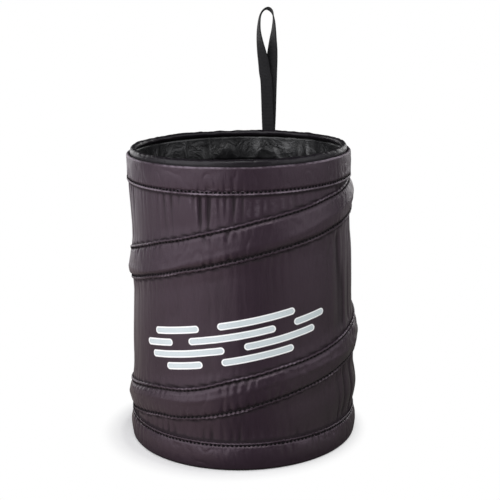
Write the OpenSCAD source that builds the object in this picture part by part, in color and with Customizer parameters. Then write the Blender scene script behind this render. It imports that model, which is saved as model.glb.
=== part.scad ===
// Pop-up waste bin for a car: a satin tube held open by a spring wire in a spiral casing.
// The origin is the centre of the foot, on the surface the bin stands on, with +Z up.
// -Y is the front, and the hanging loop stands behind the mouth.

/* [Bin] */
// Outer radius of the top band at the mouth
mouth_r = 77.5; // [60:0.5:110]
// How much further out the base band's seam lies than the top band
foot_flare = 2.5; // [0:0.5:8]
// Height of the folded edge of the top band above the floor
fold_z = 204; // [140:1:320]

/* [Fabric] */
// Thickness of the satin of the outer wall
wall_t = 0.5; // [0.3:0.1:0.7]
// Thickness of the waterproof lining
lining_t = 0.5; // [0.3:0.1:0.7]
// Thickness of a folded band's layer
band_t = 0.6; // [0.4:0.1:1]
// Free space between two layers of fabric
gap = 0.3; // [0.25:0.05:0.4]
// Height of the top band
top_band_h = 17; // [12:1:26]
// Height of the base band
base_band_h = 20; // [12:1:26]
// How far the base band puffs out below its seam
base_puff = 1.7; // [0.4:0.1:3]
// Distance of a band's seam from its stitched edge
seam_margin = 2.2; // [1.5:0.1:3.5]

/* [Rim roll] */
// Height of the roll's top above the folded edge of the top band
roll_rise = 4.1; // [3:0.1:7]
// Thickness of the fabric rolled round the top ring wire
roll_t = 0.8; // [0.6:0.1:1.2]

/* [Spring wire] */
// Radius of the wire, of the rings and of the spiral
wire_r = 0.8; // [0.6:0.1:1.1]
// Fall of the spiral in one turn
spiral_pitch = 98; // [80:1:120]
// Depth of the spiral's centre line below the folded edge of the top band, at the right side
spiral_drop = 26; // [20:1:50]
// How far the strip is sewn off its even fall in the first turn, high in front and low at the left
spiral_sway = 3; // [0:0.5:5]
// Height of the spiral's centre line where it starts to flatten out towards the foot
slow_z = 50; // [35:1:80]
// Wall of the crimp sleeves and of the wire's end caps
crimp_t = 0.25; // [0.2:0.05:0.4]
// Length of the crimp sleeves on the two rings
sleeve_l = 12; // [6:1:20]
// Length of the caps on the two ends of the spiral wire
tip_l = 6; // [4:0.5:8]

/* [Spiral casing] */
// Height of the strip that covers the spiral wire
strip_h = 20.5; // [14:0.5:26]
// Thickness of the strip
strip_t = 0.5; // [0.3:0.1:0.8]

/* [Gathers] */
// Number of gathers round the wall
gather_n = 36; // [18:1:48]
// Depth of the deepest gather, under the top band
gather_d = 1.3; // [0.2:0.1:1.4]
// Depth of the shallow gathers above the base band
foot_gather_d = 0.6; // [0.2:0.1:0.8]
// Length over which the gathers die out below the top band
gather_l = 62; // [30:1:70]
// Length over which the gathers die out above the base band
foot_gather_l = 30; // [15:1:40]

/* [Floor] */
// Thickness of the base panel
panel_t = 0.8; // [0.5:0.1:1.5]
// Thickness of the lining's floor
floor_t = 0.6; // [0.4:0.1:1]

/* [Hanging loop] */
// Width of the webbing
loop_w = 9.2; // [7:0.1:14]
// Thickness of the webbing
loop_t = 1.2; // [0.8:0.1:1.6]
// Height of the loop's top above the folded edge
loop_h = 94; // [70:1:130]
// Margin between the webbing's sewn ends and the lower edge of the top band
loop_margin = 2.5; // [1:0.5:6]
// Turn of the loop round the bin, from the right side
loop_turn = 73; // [60:1:120]

/* [Hidden] */
$fn = 96;

satin = [0.27, 0.23, 0.26];
black = [0.09, 0.085, 0.09];
steel = [0.62, 0.63, 0.65];

// The top band: the outer leg, the wall's edge and the inner leg lie side by side
top_z = fold_z - top_band_h;
top_wall_r = mouth_r - band_t - gap;
top_leg_gap = wall_t + 2 * gap;
top_inner_r = mouth_r - band_t - top_leg_gap;
fold_r = band_t + top_leg_gap / 2;
fold_cr = mouth_r - fold_r;
fold_cz = fold_z - fold_r;
inner_leg_rise = 1;

// The rim roll: its tail hangs between the top band and the lining
roll_bore_r = wire_r + crimp_t + gap;
roll_r = roll_bore_r + roll_t;
tail_r = top_inner_r - band_t - gap;
roll_cr = tail_r - roll_r;
roll_cz = fold_z + roll_rise - roll_r;
top_lining_r = tail_r - band_t - gap;
lining_top_z = roll_cz - roll_r - gap;

// The base band: a fold round the base ring wire, with both walls between its legs
foot_r = mouth_r + foot_flare;
base_slot = 2 * (wire_r + crimp_t + gap);
base_fold_r = base_slot / 2 + band_t;
base_fold_cr = foot_r - base_fold_r;
base_wall_r = foot_r - band_t - gap;
base_inner_r = foot_r - band_t - base_slot;
base_lining_r = base_inner_r + gap + lining_t;
wall_low_z = base_fold_r + wire_r + crimp_t + gap;
puff_h = base_band_h - seam_margin - base_fold_r;
puff_r = (puff_h * puff_h / 4 + base_puff * base_puff) / (2 * base_puff);

// Turn left free between the two ends of a ring of wire
butt = 0.5;

// The floor discs lie inside the base band's inner leg
floor_r = base_inner_r - band_t - gap;
floor_z = panel_t + gap;

// The spiral falls evenly for most of two turns, then more slowly, and ends behind the foot
step = 7.5;
spiral_z0 = fold_z - spiral_drop;
slow_turn = (slow_z - spiral_z0) / spiral_pitch * 360;
spiral_bend = spiral_pitch / 8;
strip_top_z = top_z - gap;
strip_low_z = base_band_h + gap;
tuck = 0.28 * strip_h;
wire_off = gap + crimp_t + wire_r;
bulge = gap + 2 * (wire_r + crimp_t);

// Smooth step from 0 to 1, and a point at a turn, a radius and a height
function at(a, r, z) = [r * cos(a), r * sin(a), z];
function ease(t) = let (u = min(1, max(0, t))) u * u * (3 - 2 * u);

// Height of the spiral's centre line at a turn, where 0 is the right side and -90 the front
function spiral_z(a) = spiral_z0 + spiral_pitch * a / 360
    + spiral_sway * cos(1.5 * (a + 75)) * ease((a + 360) / 180)
    + spiral_bend * (a > slow_turn ? 0
        : a > slow_turn - 180 ? pow((a - slow_turn) / 180, 2)
        : 1 - 2 * (a - slow_turn + 180) / 180);

// The turns at which the strip shows between the two bands, and those that the wire runs through
strip_turns = [for (a = [-1800 : step : 360])
    if (spiral_z(a) + strip_h / 2 > strip_low_z + 0.5 && spiral_z(a) - strip_h / 2 < strip_top_z - 0.5) a];
wire_turns = [for (a = strip_turns)
    if (spiral_z(a) > strip_low_z + tuck && spiral_z(a) < strip_top_z - tuck) a];

// Radius of the wall's outer face at a height, before it is gathered
function wall_r(z) = z <= base_band_h ? base_wall_r
    : z >= top_z ? top_wall_r
    : base_wall_r + (top_wall_r - base_wall_r) * (z - base_band_h) / (top_z - base_band_h);

// Depth of the gathers at a turn and a height: deep under the top band, shallow at the foot
function gather_fade(z) = z >= top_z || z <= base_band_h ? 0
    : gather_d * pow(ease(1 - (top_z - z) / gather_l), 1.5)
        + foot_gather_d * pow(ease(1 - (z - base_band_h) / foot_gather_l), 1.5);
function gather_wave(a) = (0.5 + 0.5 * cos(gather_n * a + 40 * sin(3 * a)))
    * (0.62 + 0.38 * sin(5 * a + 70) * cos(2 * a));
function gather(a, z) = gather_fade(z) * gather_wave(a);

// Two triangles for each cell of a skin of n rings of m points
function cell(a, b, c, d) = [[a, b, c], [a, c, d]];
function skin_faces(n, m, last) = [for (i = [0 : last], j = [0 : m - 1])
    each cell(i * m + j, i * m + (j + 1) % m, (i + 1) % n * m + (j + 1) % m, (i + 1) % n * m + j)];
function end_faces(n, m) = [[for (j = [m - 1 : -1 : 0]) j], [for (j = [0 : m - 1]) (n - 1) * m + j]];

// A closed tube through rings of points, with flat ends
module sweep(rings) {
    n = len(rings);
    m = len(rings[0]);
    polyhedron([for (r = rings, p = r) p], concat(skin_faces(n, m, n - 2), end_faces(n, m)),
        convexity = 8);
}

// A tube that runs round and closes on itself
module closed_sweep(rings) {
    n = len(rings);
    m = len(rings[0]);
    polyhedron([for (r = rings, p = r) p], skin_faces(n, m, n - 1), convexity = 8);
}

// The wall's heights, closest together where it is gathered
wall_rows = [wall_low_z, base_band_h, base_band_h + 0.1 * foot_gather_l,
    base_band_h + 0.4 * foot_gather_l, base_band_h + foot_gather_l,
    top_z - gather_l, top_z - 0.6 * gather_l, top_z - 0.3 * gather_l, top_z - 0.1 * gather_l,
    top_z, fold_cz];

module outer_wall() {
    color(satin)
        closed_sweep([for (k = [0 : 4 * gather_n - 1]) let (a = k * 90 / gather_n) concat(
            [for (z = wall_rows) at(a, wall_r(z) - gather(a, z), z)],
            [for (i = [len(wall_rows) - 1 : -1 : 0]) let (z = wall_rows[i])
                at(a, wall_r(z) - gather(a, z) - wall_t, z)])]);
}

// The strip's rise over the wall across its height, from -1 at its lower edge to 1 at its upper
function strip_rise(s) = bulge * pow(cos(90 * s), 2);
strip_rows = [-1, -0.72, -0.36, 0, 0.36, 0.72, 1];

function strip_ring(a) = let (
    c = spiral_z(a),
    low = max(strip_low_z, c - strip_h / 2),
    high = min(strip_top_z, c + strip_h / 2),
    zs = [for (s = strip_rows) low + (high - low) * (s + 1) / 2],
    off = [for (z = zs) gap + strip_rise(max(-1, min(1, (z - c) / strip_h * 2)))]) concat(
        [for (i = [0 : len(zs) - 1]) at(a, wall_r(zs[i]) + off[i] + strip_t, zs[i])],
        [for (i = [len(zs) - 1 : -1 : 0]) at(a, wall_r(zs[i]) + off[i], zs[i])]);

module spiral_casing() {
    color(satin * 1.08)
        sweep([for (a = strip_turns) strip_ring(a)]);
}

function wire_point(a) = at(a, wall_r(spiral_z(a)) + wire_off, spiral_z(a));

module spiral_wire() {
    color(steel)
        sweep([for (a = wire_turns) let (c = wire_point(a))
            [for (j = [0 : 7]) c + at(a, wire_r * cos(45 * j), wire_r * sin(45 * j))]]);
}

// A cap with a round nose over the end of the spiral wire at point p, where the wire comes from q
module wire_tip(p, q) {
    d = (p - q) / norm(p - q);
    cover = tip_l - gap - wire_r;
    color(black)
        translate(p)
            rotate([0, acos(d[2]), atan2(d[1], d[0])])
                difference() {
                    union() {
                        translate([0, 0, -cover])
                            cylinder(h = cover + gap, r = wire_r + crimp_t);
                        translate([0, 0, gap])
                            sphere(r = wire_r + crimp_t);
                    }
                    translate([0, 0, -cover - 1])
                        cylinder(h = cover + 1 + gap, r = wire_r + crimp_t / 5);
                }
}

module lower_wire_tip() {
    wire_tip(wire_point(wire_turns[0]), wire_point(wire_turns[1]));
}

module upper_wire_tip() {
    n = len(wire_turns) - 1;
    wire_tip(wire_point(wire_turns[n]), wire_point(wire_turns[n - 1]));
}

// Round fold over the edge of a band, open downwards where up is 1 and upwards where it is -1
module fold_section(cr, cz, outer, inner, up) {
    translate([cr, cz])
        intersection() {
            difference() {
                circle(r = outer);
                circle(r = inner);
            }
            translate([-outer - 1, up > 0 ? 0 : -outer - 1])
                square([2 * outer + 2, outer + 1]);
        }
}

module top_band() {
    color(satin * 1.1)
        rotate_extrude()
            union() {
                fold_section(fold_cr, fold_cz, fold_r, fold_r - band_t, 1);
                translate([mouth_r - band_t, top_z])
                    square([band_t, fold_cz - top_z]);
                translate([top_inner_r - band_t, top_z + inner_leg_rise])
                    square([band_t, fold_cz - top_z - inner_leg_rise]);
            }
}

module rim_roll() {
    color(satin * 0.7)
        rotate_extrude()
            union() {
                translate([roll_cr, roll_cz])
                    difference() {
                        circle(r = roll_r);
                        circle(r = roll_bore_r);
                    }
                translate([tail_r - band_t, top_z + 2 * inner_leg_rise])
                    square([band_t, roll_cz - top_z - 2 * inner_leg_rise]);
            }
}

// A ring of wire whose two ends meet in a crimp sleeve at the back
module ring_wire(cr, cz) {
    rotate([0, 0, 90 + butt / 2])
        rotate_extrude(angle = 360 - butt)
            translate([cr, cz])
                circle(r = wire_r);
}

module ring_sleeve(cr, cz) {
    turn = sleeve_l / cr * 180 / PI;
    rotate([0, 0, 90 - turn / 2])
        rotate_extrude(angle = turn)
            translate([cr, cz])
                difference() {
                    circle(r = wire_r + crimp_t);
                    circle(r = wire_r + crimp_t / 10);
                }
}

module top_ring_wire() {
    color(steel)
        ring_wire(roll_cr, roll_cz);
}

module top_ring_sleeve() {
    color(steel * 0.8)
        ring_sleeve(roll_cr, roll_cz);
}

// The base band's outer leg puffs out in an arc from the fold to the seam
puff_steps = 8;
function puff(z) = sqrt(puff_r * puff_r - pow(z - puff_h / 2, 2)) - puff_r + base_puff;
puffed_leg = [for (k = [0 : puff_steps]) let (z = puff_h * k / puff_steps) [foot_r + puff(z), base_fold_r + z]];

module outer_leg() {
    polygon(concat(puffed_leg, [[foot_r, base_band_h], [foot_r - band_t, base_band_h]],
        [for (k = [puff_steps : -1 : 0]) puffed_leg[k] - [band_t, 0]]));
}

module base_band() {
    color(satin * 1.1)
        rotate_extrude()
            union() {
                fold_section(base_fold_cr, base_fold_r, base_fold_r, base_fold_r - band_t, -1);
                outer_leg();
                translate([base_inner_r - band_t, base_fold_r])
                    square([band_t, base_band_h - base_fold_r]);
            }
}

module base_ring_wire() {
    color(steel)
        ring_wire(base_fold_cr, base_fold_r);
}

module base_ring_sleeve() {
    color(steel * 0.8)
        ring_sleeve(base_fold_cr, base_fold_r);
}

module base_panel() {
    color(satin * 0.8)
        cylinder(h = panel_t, r = floor_r);
}

module lining_wall() {
    color(black)
        rotate_extrude()
            polygon([[base_lining_r - lining_t, wall_low_z], [base_lining_r, wall_low_z],
                [base_lining_r, base_band_h], [top_lining_r, top_z],
                [top_lining_r, lining_top_z], [top_lining_r - lining_t, lining_top_z],
                [top_lining_r - lining_t, top_z], [base_lining_r - lining_t, base_band_h]]);
}

module lining_floor() {
    color(black)
        translate([0, 0, floor_z])
            cylinder(h = floor_t, r = floor_r);
}

// The loop's route, seen from the front: how far to the right, how far back from its inner end,
// how far below the loop's top, and how far the webbing is turned about its own length
loop_gap = loop_t + gap;
loop_end = loop_h + top_band_h - loop_margin;
loop_route = [
    [0, 0, loop_end, 0],
    [0, 0, loop_h + 2, 0],
    [-0.4, 0, loop_h - 14, 0],
    [-1, 0.1, 55, 0],
    [-2.3, 0.3, 47, 25],
    [-3.4, 0.4, 39, 45],
    [-4.9, 0.6, 31.5, 58],
    [-6.3, 0.8, 24, 66],
    [-7.1, 0.9, 16, 76],
    [-6.3, 1, 8.2, 82],
    [-4.9, 1, 4, 88],
    [-2.8, 1, 1.3, 90],
    [0, 1, 0, 90],
    [2.6, 1, 1.3, 90],
    [4.4, 1, 4.2, 92],
    [5.1, 1.1, 9, 96],
    [4.8, 1.3, 16, 110],
    [4, loop_gap + 0.2, 23, 123],
    [3.3, loop_gap + 0.5, 31, 135],
    [2.4, loop_gap + 0.5, 41, 155],
    [2, loop_gap + 0.2, 55, 180],
    [1, loop_gap, loop_h - 14, 180],
    [0, loop_gap, loop_h + 2, 180],
    [0, loop_gap, loop_end, 180]];

// The webbing's section at a point of its route: its width lies along the band at both ends
function loop_ring(i) = let (
    n = len(loop_route) - 1,
    p = loop_route[i],
    q = loop_route[max(0, i - 1)],
    s = loop_route[min(n, i + 1)],
    run = [s[0] - q[0], q[2] - s[2]],
    d = run / norm(run),
    w = [d[1] * cos(p[3]), -sin(p[3]), -d[0] * cos(p[3])],
    t = cross([d[0], 0, d[1]], w),
    c = [p[0], p[1], fold_z + loop_h - p[2] - loop_t / 2])
    [for (k = [[-1, -1], [-1, 1], [1, 1], [1, -1]]) c + k[0] * loop_w / 2 * w + k[1] * loop_t / 2 * t];

module hanging_loop() {
    color(black)
        rotate([0, 0, loop_turn - 90])
            translate([0, mouth_r + gap + loop_t / 2, 0])
                sweep([for (i = [0 : len(loop_route) - 1]) loop_ring(i)]);
}

outer_wall();
spiral_casing();
spiral_wire();
lower_wire_tip();
upper_wire_tip();
top_band();
rim_roll();
top_ring_wire();
top_ring_sleeve();
base_band();
base_ring_wire();
base_ring_sleeve();
base_panel();
lining_wall();
lining_floor();
hanging_loop();
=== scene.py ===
"""Pop-up fabric bin: satin wall, wire casing, hems, lining, loop and threads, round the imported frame."""

import math

import bmesh
import bpy
import numpy as np
from bpy.props import FloatProperty, FloatVectorProperty, IntProperty, PointerProperty
from mathutils import Matrix, Vector


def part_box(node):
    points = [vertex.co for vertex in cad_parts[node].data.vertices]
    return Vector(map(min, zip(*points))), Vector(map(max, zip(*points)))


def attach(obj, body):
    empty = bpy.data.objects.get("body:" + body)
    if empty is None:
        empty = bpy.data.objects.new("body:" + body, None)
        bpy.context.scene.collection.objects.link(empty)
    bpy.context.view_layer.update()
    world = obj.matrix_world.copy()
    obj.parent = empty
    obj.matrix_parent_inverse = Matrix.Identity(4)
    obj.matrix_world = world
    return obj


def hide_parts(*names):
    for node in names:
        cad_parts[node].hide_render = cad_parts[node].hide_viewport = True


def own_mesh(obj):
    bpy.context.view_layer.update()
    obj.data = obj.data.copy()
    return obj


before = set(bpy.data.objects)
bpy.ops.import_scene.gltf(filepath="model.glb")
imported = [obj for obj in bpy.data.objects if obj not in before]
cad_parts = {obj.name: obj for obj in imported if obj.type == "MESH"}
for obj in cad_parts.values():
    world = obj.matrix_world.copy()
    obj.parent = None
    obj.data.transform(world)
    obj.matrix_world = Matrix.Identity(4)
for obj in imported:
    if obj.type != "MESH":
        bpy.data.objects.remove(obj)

bl_info = {
    "name": "Fabric pop-up bin",
    "version": (1, 0, 0),
    "blender": (4, 5, 0),
    "location": "View3D > Sidebar > Bin",
    "description": "Dresses the bin's frame with gathered satin, hems, lining, webbing and threads",
    "category": "Object",
}

TAU = math.tau
MM = 0.001
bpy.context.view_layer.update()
BAND_LOW, BAND_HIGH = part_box("top_band")
FOOT_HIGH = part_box("base_band")[1]
PANEL_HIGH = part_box("base_panel")[1]
DISC_LOW, DISC_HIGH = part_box("lining_floor")

BASE_PUFF = 1.7 * MM
TOP_BAND_DEPTH = 2.3 * MM
BASE_BAND_DEPTH = 3.9 * MM
# A band's seam lies this far in from its stitched edge, which is rounded off by these two
SEAM_MARGIN = 2.2 * MM
EDGE_ROUND = 0.35 * MM
EDGE_BACK = 0.45 * MM
THIN_CLOTH = 0.3 * MM
DISC_CLOTH = 0.5 * MM
WIRE_RADIUS = 0.8 * MM
# Turn of the wall's own seam at the back, and the radius at which all cloth is measured along
SEAM_TURN = math.radians(128.0)
CLOTH_RADIUS = 79.0 * MM
CLOTH_ROUND = TAU * CLOTH_RADIUS


def length_property(name, text, value):
    return FloatProperty(name=name, description=text, default=value, unit="LENGTH")


def colour_property(name, text, *value):
    return FloatVectorProperty(name=name, description=text, subtype="COLOR", default=value)


class BinSizes(bpy.types.PropertyGroup):
    mouth_radius: length_property("Mouth radius", "Outside of the top band", BAND_HIGH.x)
    foot_radius: length_property(
        "Foot radius", "Outside of the base band at its seam", FOOT_HIGH.x - BASE_PUFF)
    base_puff: length_property("Base puff", "How far the base band puffs out below its seam", BASE_PUFF)
    fold_height: length_property("Fold height", "Folded upper edge of the top band", BAND_HIGH.z)
    band_bottom: length_property(
        "Top band's lower edge", "Height of the top band's stitched edge", BAND_LOW.z - 1.2 * MM)
    base_band_height: length_property(
        "Base band height", "Height of the base band's stitched edge", FOOT_HIGH.z)
    cloth: length_property("Cloth thickness", "Thickness of the outer wall and of the lining", 0.5 * MM)
    hem_cloth: length_property("Hem thickness", "Thickness of the cloth in the bands", 0.6 * MM)
    clearance: length_property("Clearance", "Room between layers that lie on each other", 0.3 * MM)
    spiral_top: length_property(
        "Spiral height", "Height of the wire casing's middle at the right side", 178 * MM)
    spiral_pitch: length_property("Spiral pitch", "Fall of the wire casing in one turn", 98 * MM)
    spiral_sway: length_property("Spiral sway", "How far the wire casing wanders from an even fall", 3 * MM)
    slow_height: length_property(
        "Slow height", "Height from which the wire casing falls more slowly", 50 * MM)
    casing_height: length_property(
        "Casing height", "Distance between the seams of the wire casing", 20.5 * MM)
    casing_rise: length_property("Casing rise", "How far the wire casing stands off the wall", 2.9 * MM)
    gather_depth: length_property("Gather depth", "Depth of the folds under the top band", 1.5 * MM)
    foot_gather_depth: length_property(
        "Foot gather depth", "Depth of the folds over the base band", 0.95 * MM)
    gathers: IntProperty(
        name="Gathers", description="Folds round the bin under the top band", default=86, min=8)
    bow: length_property("Bow", "How far the slack wall leans to the right at mid height", 1.7 * MM)
    stitch_pitch: length_property("Stitch pitch", "Distance between two stitches", 2.9 * MM)
    webbing_width: length_property("Webbing width", "Width of the hanging loop's webbing", 9.2 * MM)
    webbing_thickness: length_property(
        "Webbing thickness", "Thickness of the hanging loop's webbing", 1.2 * MM)


class BinColours(bpy.types.PropertyGroup):
    satin: colour_property("Satin", "Satin nylon of the wall, casing and hems", 0.0232, 0.0143, 0.0218)
    # Painted shade: the darker satin below is painted into seams, gather valleys, tucks and along the bottom
    # edge
    satin_painted_shade: colour_property(
        "Satin in the seams", "Satin where it turns into a seam", 0.0045, 0.003, 0.004)
    # Painted highlight: the pale satin below is painted along folded edges, seam lips and the ridges between
    # gathers
    satin_painted_highlight: colour_property("Worn satin", "Satin rubbed pale along folded edges", 0.175, 0.145, 0.175)
    roll: colour_property("Rim roll", "Rolled edge inside the mouth", 0.0080, 0.0060, 0.0088)
    lining: colour_property("Lining", "Coated black lining", 0.006, 0.006, 0.0065)
    webbing: colour_property("Webbing", "Black ribbed webbing", 0.0045, 0.0045, 0.0052)
    thread: colour_property("Thread", "Sewing thread", 0.0020, 0.0016, 0.0020)
    ink: colour_property("Ink", "Pale printed dashes", 0.56, 0.635, 0.655)
    steel: colour_property("Spring steel", "Wires in the spiral and in both hems", 0.36, 0.36, 0.38)
    floor: colour_property("Floor", "Pale studio floor", 0.93, 0.93, 0.935)
    bounce: colour_property(
        "Near bounce", "What the floor throws back at the bin from close by", 0.90, 0.79, 0.71)
    right_bounce: colour_property(
        "Right bounce", "What the floor throws back at the bin's right side from close by", 0.74, 0.84, 0.62)
    far_bounce: colour_property(
        "Far bounce", "What the floor throws back at the bin from further out", 1.0, 0.94, 1.0)


def sizes():
    return bpy.context.scene.bin_sizes


def colours():
    return bpy.context.scene.bin_colours


# Shader maths

def maths(operation, turned=False):
    """A method of Value that adds a Math node. turned puts the other number first."""
    def added(self, *others):
        numbers = (*others, self) if turned else (self, *others)
        return self.finish.value("ShaderNodeMath", {"operation": operation}, dict(enumerate(numbers)))
    return added


class Value:
    """A number in a material. Arithmetic on it adds the Math nodes that work it out."""

    def __init__(self, finish, socket):
        self.finish = finish
        self.socket = socket

    __add__ = __radd__ = maths("ADD")
    __sub__ = maths("SUBTRACT")
    __rsub__ = maths("SUBTRACT", turned=True)
    __mul__ = __rmul__ = maths("MULTIPLY")
    __truediv__ = maths("DIVIDE")
    __rtruediv__ = maths("DIVIDE", turned=True)
    __pow__ = maths("POWER")
    __abs__ = maths("ABSOLUTE")
    sine = maths("SINE")
    root = maths("SQRT")
    at_least = maths("MAXIMUM")
    at_most = maths("MINIMUM")

    def __neg__(self):
        return self * -1.0

    def ramp(self, low, high):
        """0 at low, 1 at high and smooth between them."""
        return self.finish.value(
            "ShaderNodeMapRange", {"interpolation_type": "SMOOTHSTEP"},
            {0: self, 1: low, 2: high, 3: 0.0, 4: 1.0})


class Nodes:
    """The nodes of a material or of the world."""

    def __init__(self, owner):
        owner.use_nodes = True
        self.tree = owner.node_tree
        self.tree.nodes.clear()

    def node(self, kind, settings=None, sockets=None):
        made = self.tree.nodes.new(kind)
        for key, value in (settings or {}).items():
            setattr(made, key, value)
        for key, value in (sockets or {}).items():
            if isinstance(value, Value):
                value = value.socket
            if isinstance(value, bpy.types.NodeSocket):
                self.tree.links.new(value, made.inputs[key])
            else:
                made.inputs[key].default_value = value
        return made

    def value(self, kind, settings=None, sockets=None):
        return Value(self, self.node(kind, settings, sockets).outputs[0])


def rgba(colour):
    return colour if isinstance(colour, bpy.types.NodeSocket) else (*colour, 1.0)


def scaled(colour, by):
    """A colour made lighter or darker."""
    return [v * by for v in colour]


class Finish(Nodes):
    """One procedural material."""

    def __init__(self, name):
        self.material = bpy.data.materials.new(name)
        super().__init__(self.material)

    def split(self, vector):
        """The first two numbers of a vector."""
        parts = self.node("ShaderNodeSeparateXYZ", None, {0: vector})
        return Value(self, parts.outputs[0]), Value(self, parts.outputs[1])

    def cloth_uv(self):
        """Distance along and across the cloth, in metres."""
        return self.split(self.node("ShaderNodeUVMap", {"uv_map": "cloth"}).outputs[0])

    def place(self):
        """Place on the piece, in its own coordinates."""
        return self.node("ShaderNodeTexCoord").outputs["Object"]

    def attribute(self, name, output="Fac"):
        return self.node("ShaderNodeAttribute", {"attribute_name": name}).outputs[output]

    def cloth_place(self):
        """Place of the cloth before it was folded."""
        return self.attribute("place", "Vector")

    def noise(self, vector, scale, detail=2.0, rough=0.5, twist=0.0):
        return self.value("ShaderNodeTexNoise", {"noise_dimensions": "3D"}, {
            "Vector": vector, "Scale": scale, "Detail": detail, "Roughness": rough, "Distortion": twist})

    def cloth_noise(self, along, across, *shape, layer=0.0):
        """Noise over two distances on the cloth. layer sets two such noises apart."""
        vector = self.node("ShaderNodeCombineXYZ", None, {0: along, 1: across, 2: layer}).outputs[0]
        return self.noise(vector, 1.0, *shape)

    def mix(self, factor, low, high):
        sockets = {0: factor, 6: rgba(low), 7: rgba(high)}
        return self.node("ShaderNodeMix", {"data_type": "RGBA"}, sockets).outputs[2]

    def surface(self, colour, height, **sockets):
        """Ends the material in one Principled shader. height is in metres and feeds its normal."""
        named = {key.replace("_", " "): value for key, value in sockets.items()}
        named["Base Color"] = rgba(colour)
        bump = self.node("ShaderNodeBump", None, {"Height": height, "Distance": 1.0, "Strength": 1.0})
        named["Normal"] = bump.outputs[0]
        shader = self.node("ShaderNodeBsdfPrincipled", None, named)
        self.node("ShaderNodeOutputMaterial", None, {0: shader.outputs[0]})
        return self.material


# Finishes

def weave(along, across, pitch, depth):
    """Height of a plain weave of round threads."""
    warp = (along * (TAU / pitch)).sine()
    weft = (across * (TAU / pitch)).sine()
    return (warp + weft + warp * weft) * depth


SATIN_SHEEN = {"IOR": 1.45, "Specular_Tint": (1.0, 0.83, 0.93, 1.0)}


def satin_body(finish, colour, deep, painted_highlight, slack=0.16 * MM):
    """Colour, roughness and height that every satin piece shares, its colour carrying painted shade and
    painted highlight. slack is the height of its soft dents.
    """
    along, across = finish.cloth_uv()
    painted_shading = Value(finish, finish.attribute("painted_shading"))
    threads = finish.cloth_noise(along * 950.0, across * 34.0, 2.0, 0.6)
    picks = finish.cloth_noise(along * 30.0, across * 1100.0, 1.0, 0.5)
    clouds = finish.noise(finish.cloth_place(), 26.0, 3.0, 0.55)
    crumple = finish.cloth_noise(along * 210.0, across * 45.0, 3.0, 0.55, 0.4)
    ridges = 1.0 - abs(crumple * 2.0 - 1.0)
    shade = (threads - 0.5) * 0.9 + (clouds - 0.5) * 0.9 + (picks - 0.5) * 0.35
    base = finish.mix((shade * 0.5 + 0.5).at_least(0.0).at_most(1.0),
                      scaled(colour, 0.80), scaled(colour, 1.22))
    # Painted shade towards the deep colour where the stored shading is below 0, then painted highlight,
    # broken into patches, where it is above 0
    base = finish.mix((-painted_shading).ramp(0.0, 1.0), base, deep)
    flecks = finish.cloth_noise(along * 330.0, across * 330.0, 2.0, 0.6, layer=3.0)
    highlight_patches = finish.cloth_noise(along * 28.0, across * 28.0, 1.0, layer=7.0)
    base = finish.mix((painted_shading * (flecks * 1.5 + highlight_patches * 2.4 - 1.3)).ramp(0.02, 1.0), base, painted_highlight)
    rough = 0.37 + (clouds - 0.5) * 0.16 + (threads - 0.5) * 0.12 + painted_shading.at_least(0.0) * 0.12
    rough = rough + (-painted_shading).ramp(0.15, 0.9) * 0.5
    height = (weave(along, across, 0.42 * MM, 0.004 * MM)
              + (threads - 0.5) * (0.035 * MM)
              + (ridges ** 2.0) * (0.07 * MM)
              + (clouds - 0.5) * slack)
    return along, across, base, rough, height


def satin(name):
    finish = Finish(name)
    c = colours()
    _, _, base, rough, height = satin_body(finish, c.satin, c.satin_painted_shade, c.satin_painted_highlight)
    return finish.surface(base, height, Roughness=rough, **SATIN_SHEEN)


# Slanted dashes with round ends: turn of each end in degrees, height over the print's line in millimetres
DASHES = [
    (-137.0, -110.0, 12.0), (-100.5, -62.0, 12.0),
    (-144.5, -126.0, 4.0), (-116.5, -73.0, 4.0), (-63.5, -46.0, 4.0),
    (-141.0, -99.0, -4.0), (-89.5, -53.0, -4.0),
    (-131.5, -111.0, -12.0), (-101.5, -66.0, -12.0)]
DASH_HALF = 2.45 * MM
DASH_SOFT = 0.12 * MM
PRINT_TURN = -91.0
PRINT_HEIGHT = 89.5 * MM
PRINT_SLOPE = 0.17


def dash_masks(run, lift, stretch):
    """Where the dashes lie, and where their pale cores do, from distances along and across the print."""
    ink = core = None
    for start, end, rise in DASHES:
        a = math.radians(start - PRINT_TURN) * CLOTH_RADIUS * stretch + DASH_HALF
        b = math.radians(end - PRINT_TURN) * CLOTH_RADIUS * stretch - DASH_HALF
        past = (abs(run - (a + b) / 2) - (b - a) / 2).at_least(0.0)
        side = lift - rise * MM
        reach = (past * past + side * side).root()
        dash = 1.0 - reach.ramp(DASH_HALF - DASH_SOFT, DASH_HALF + DASH_SOFT)
        inner = 1.0 - reach.ramp(DASH_HALF - 1.0 * MM, DASH_HALF - 0.7 * MM)
        ink = dash if ink is None else ink.at_least(dash)
        core = inner if core is None else core.at_least(inner)
    return ink, core


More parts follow.
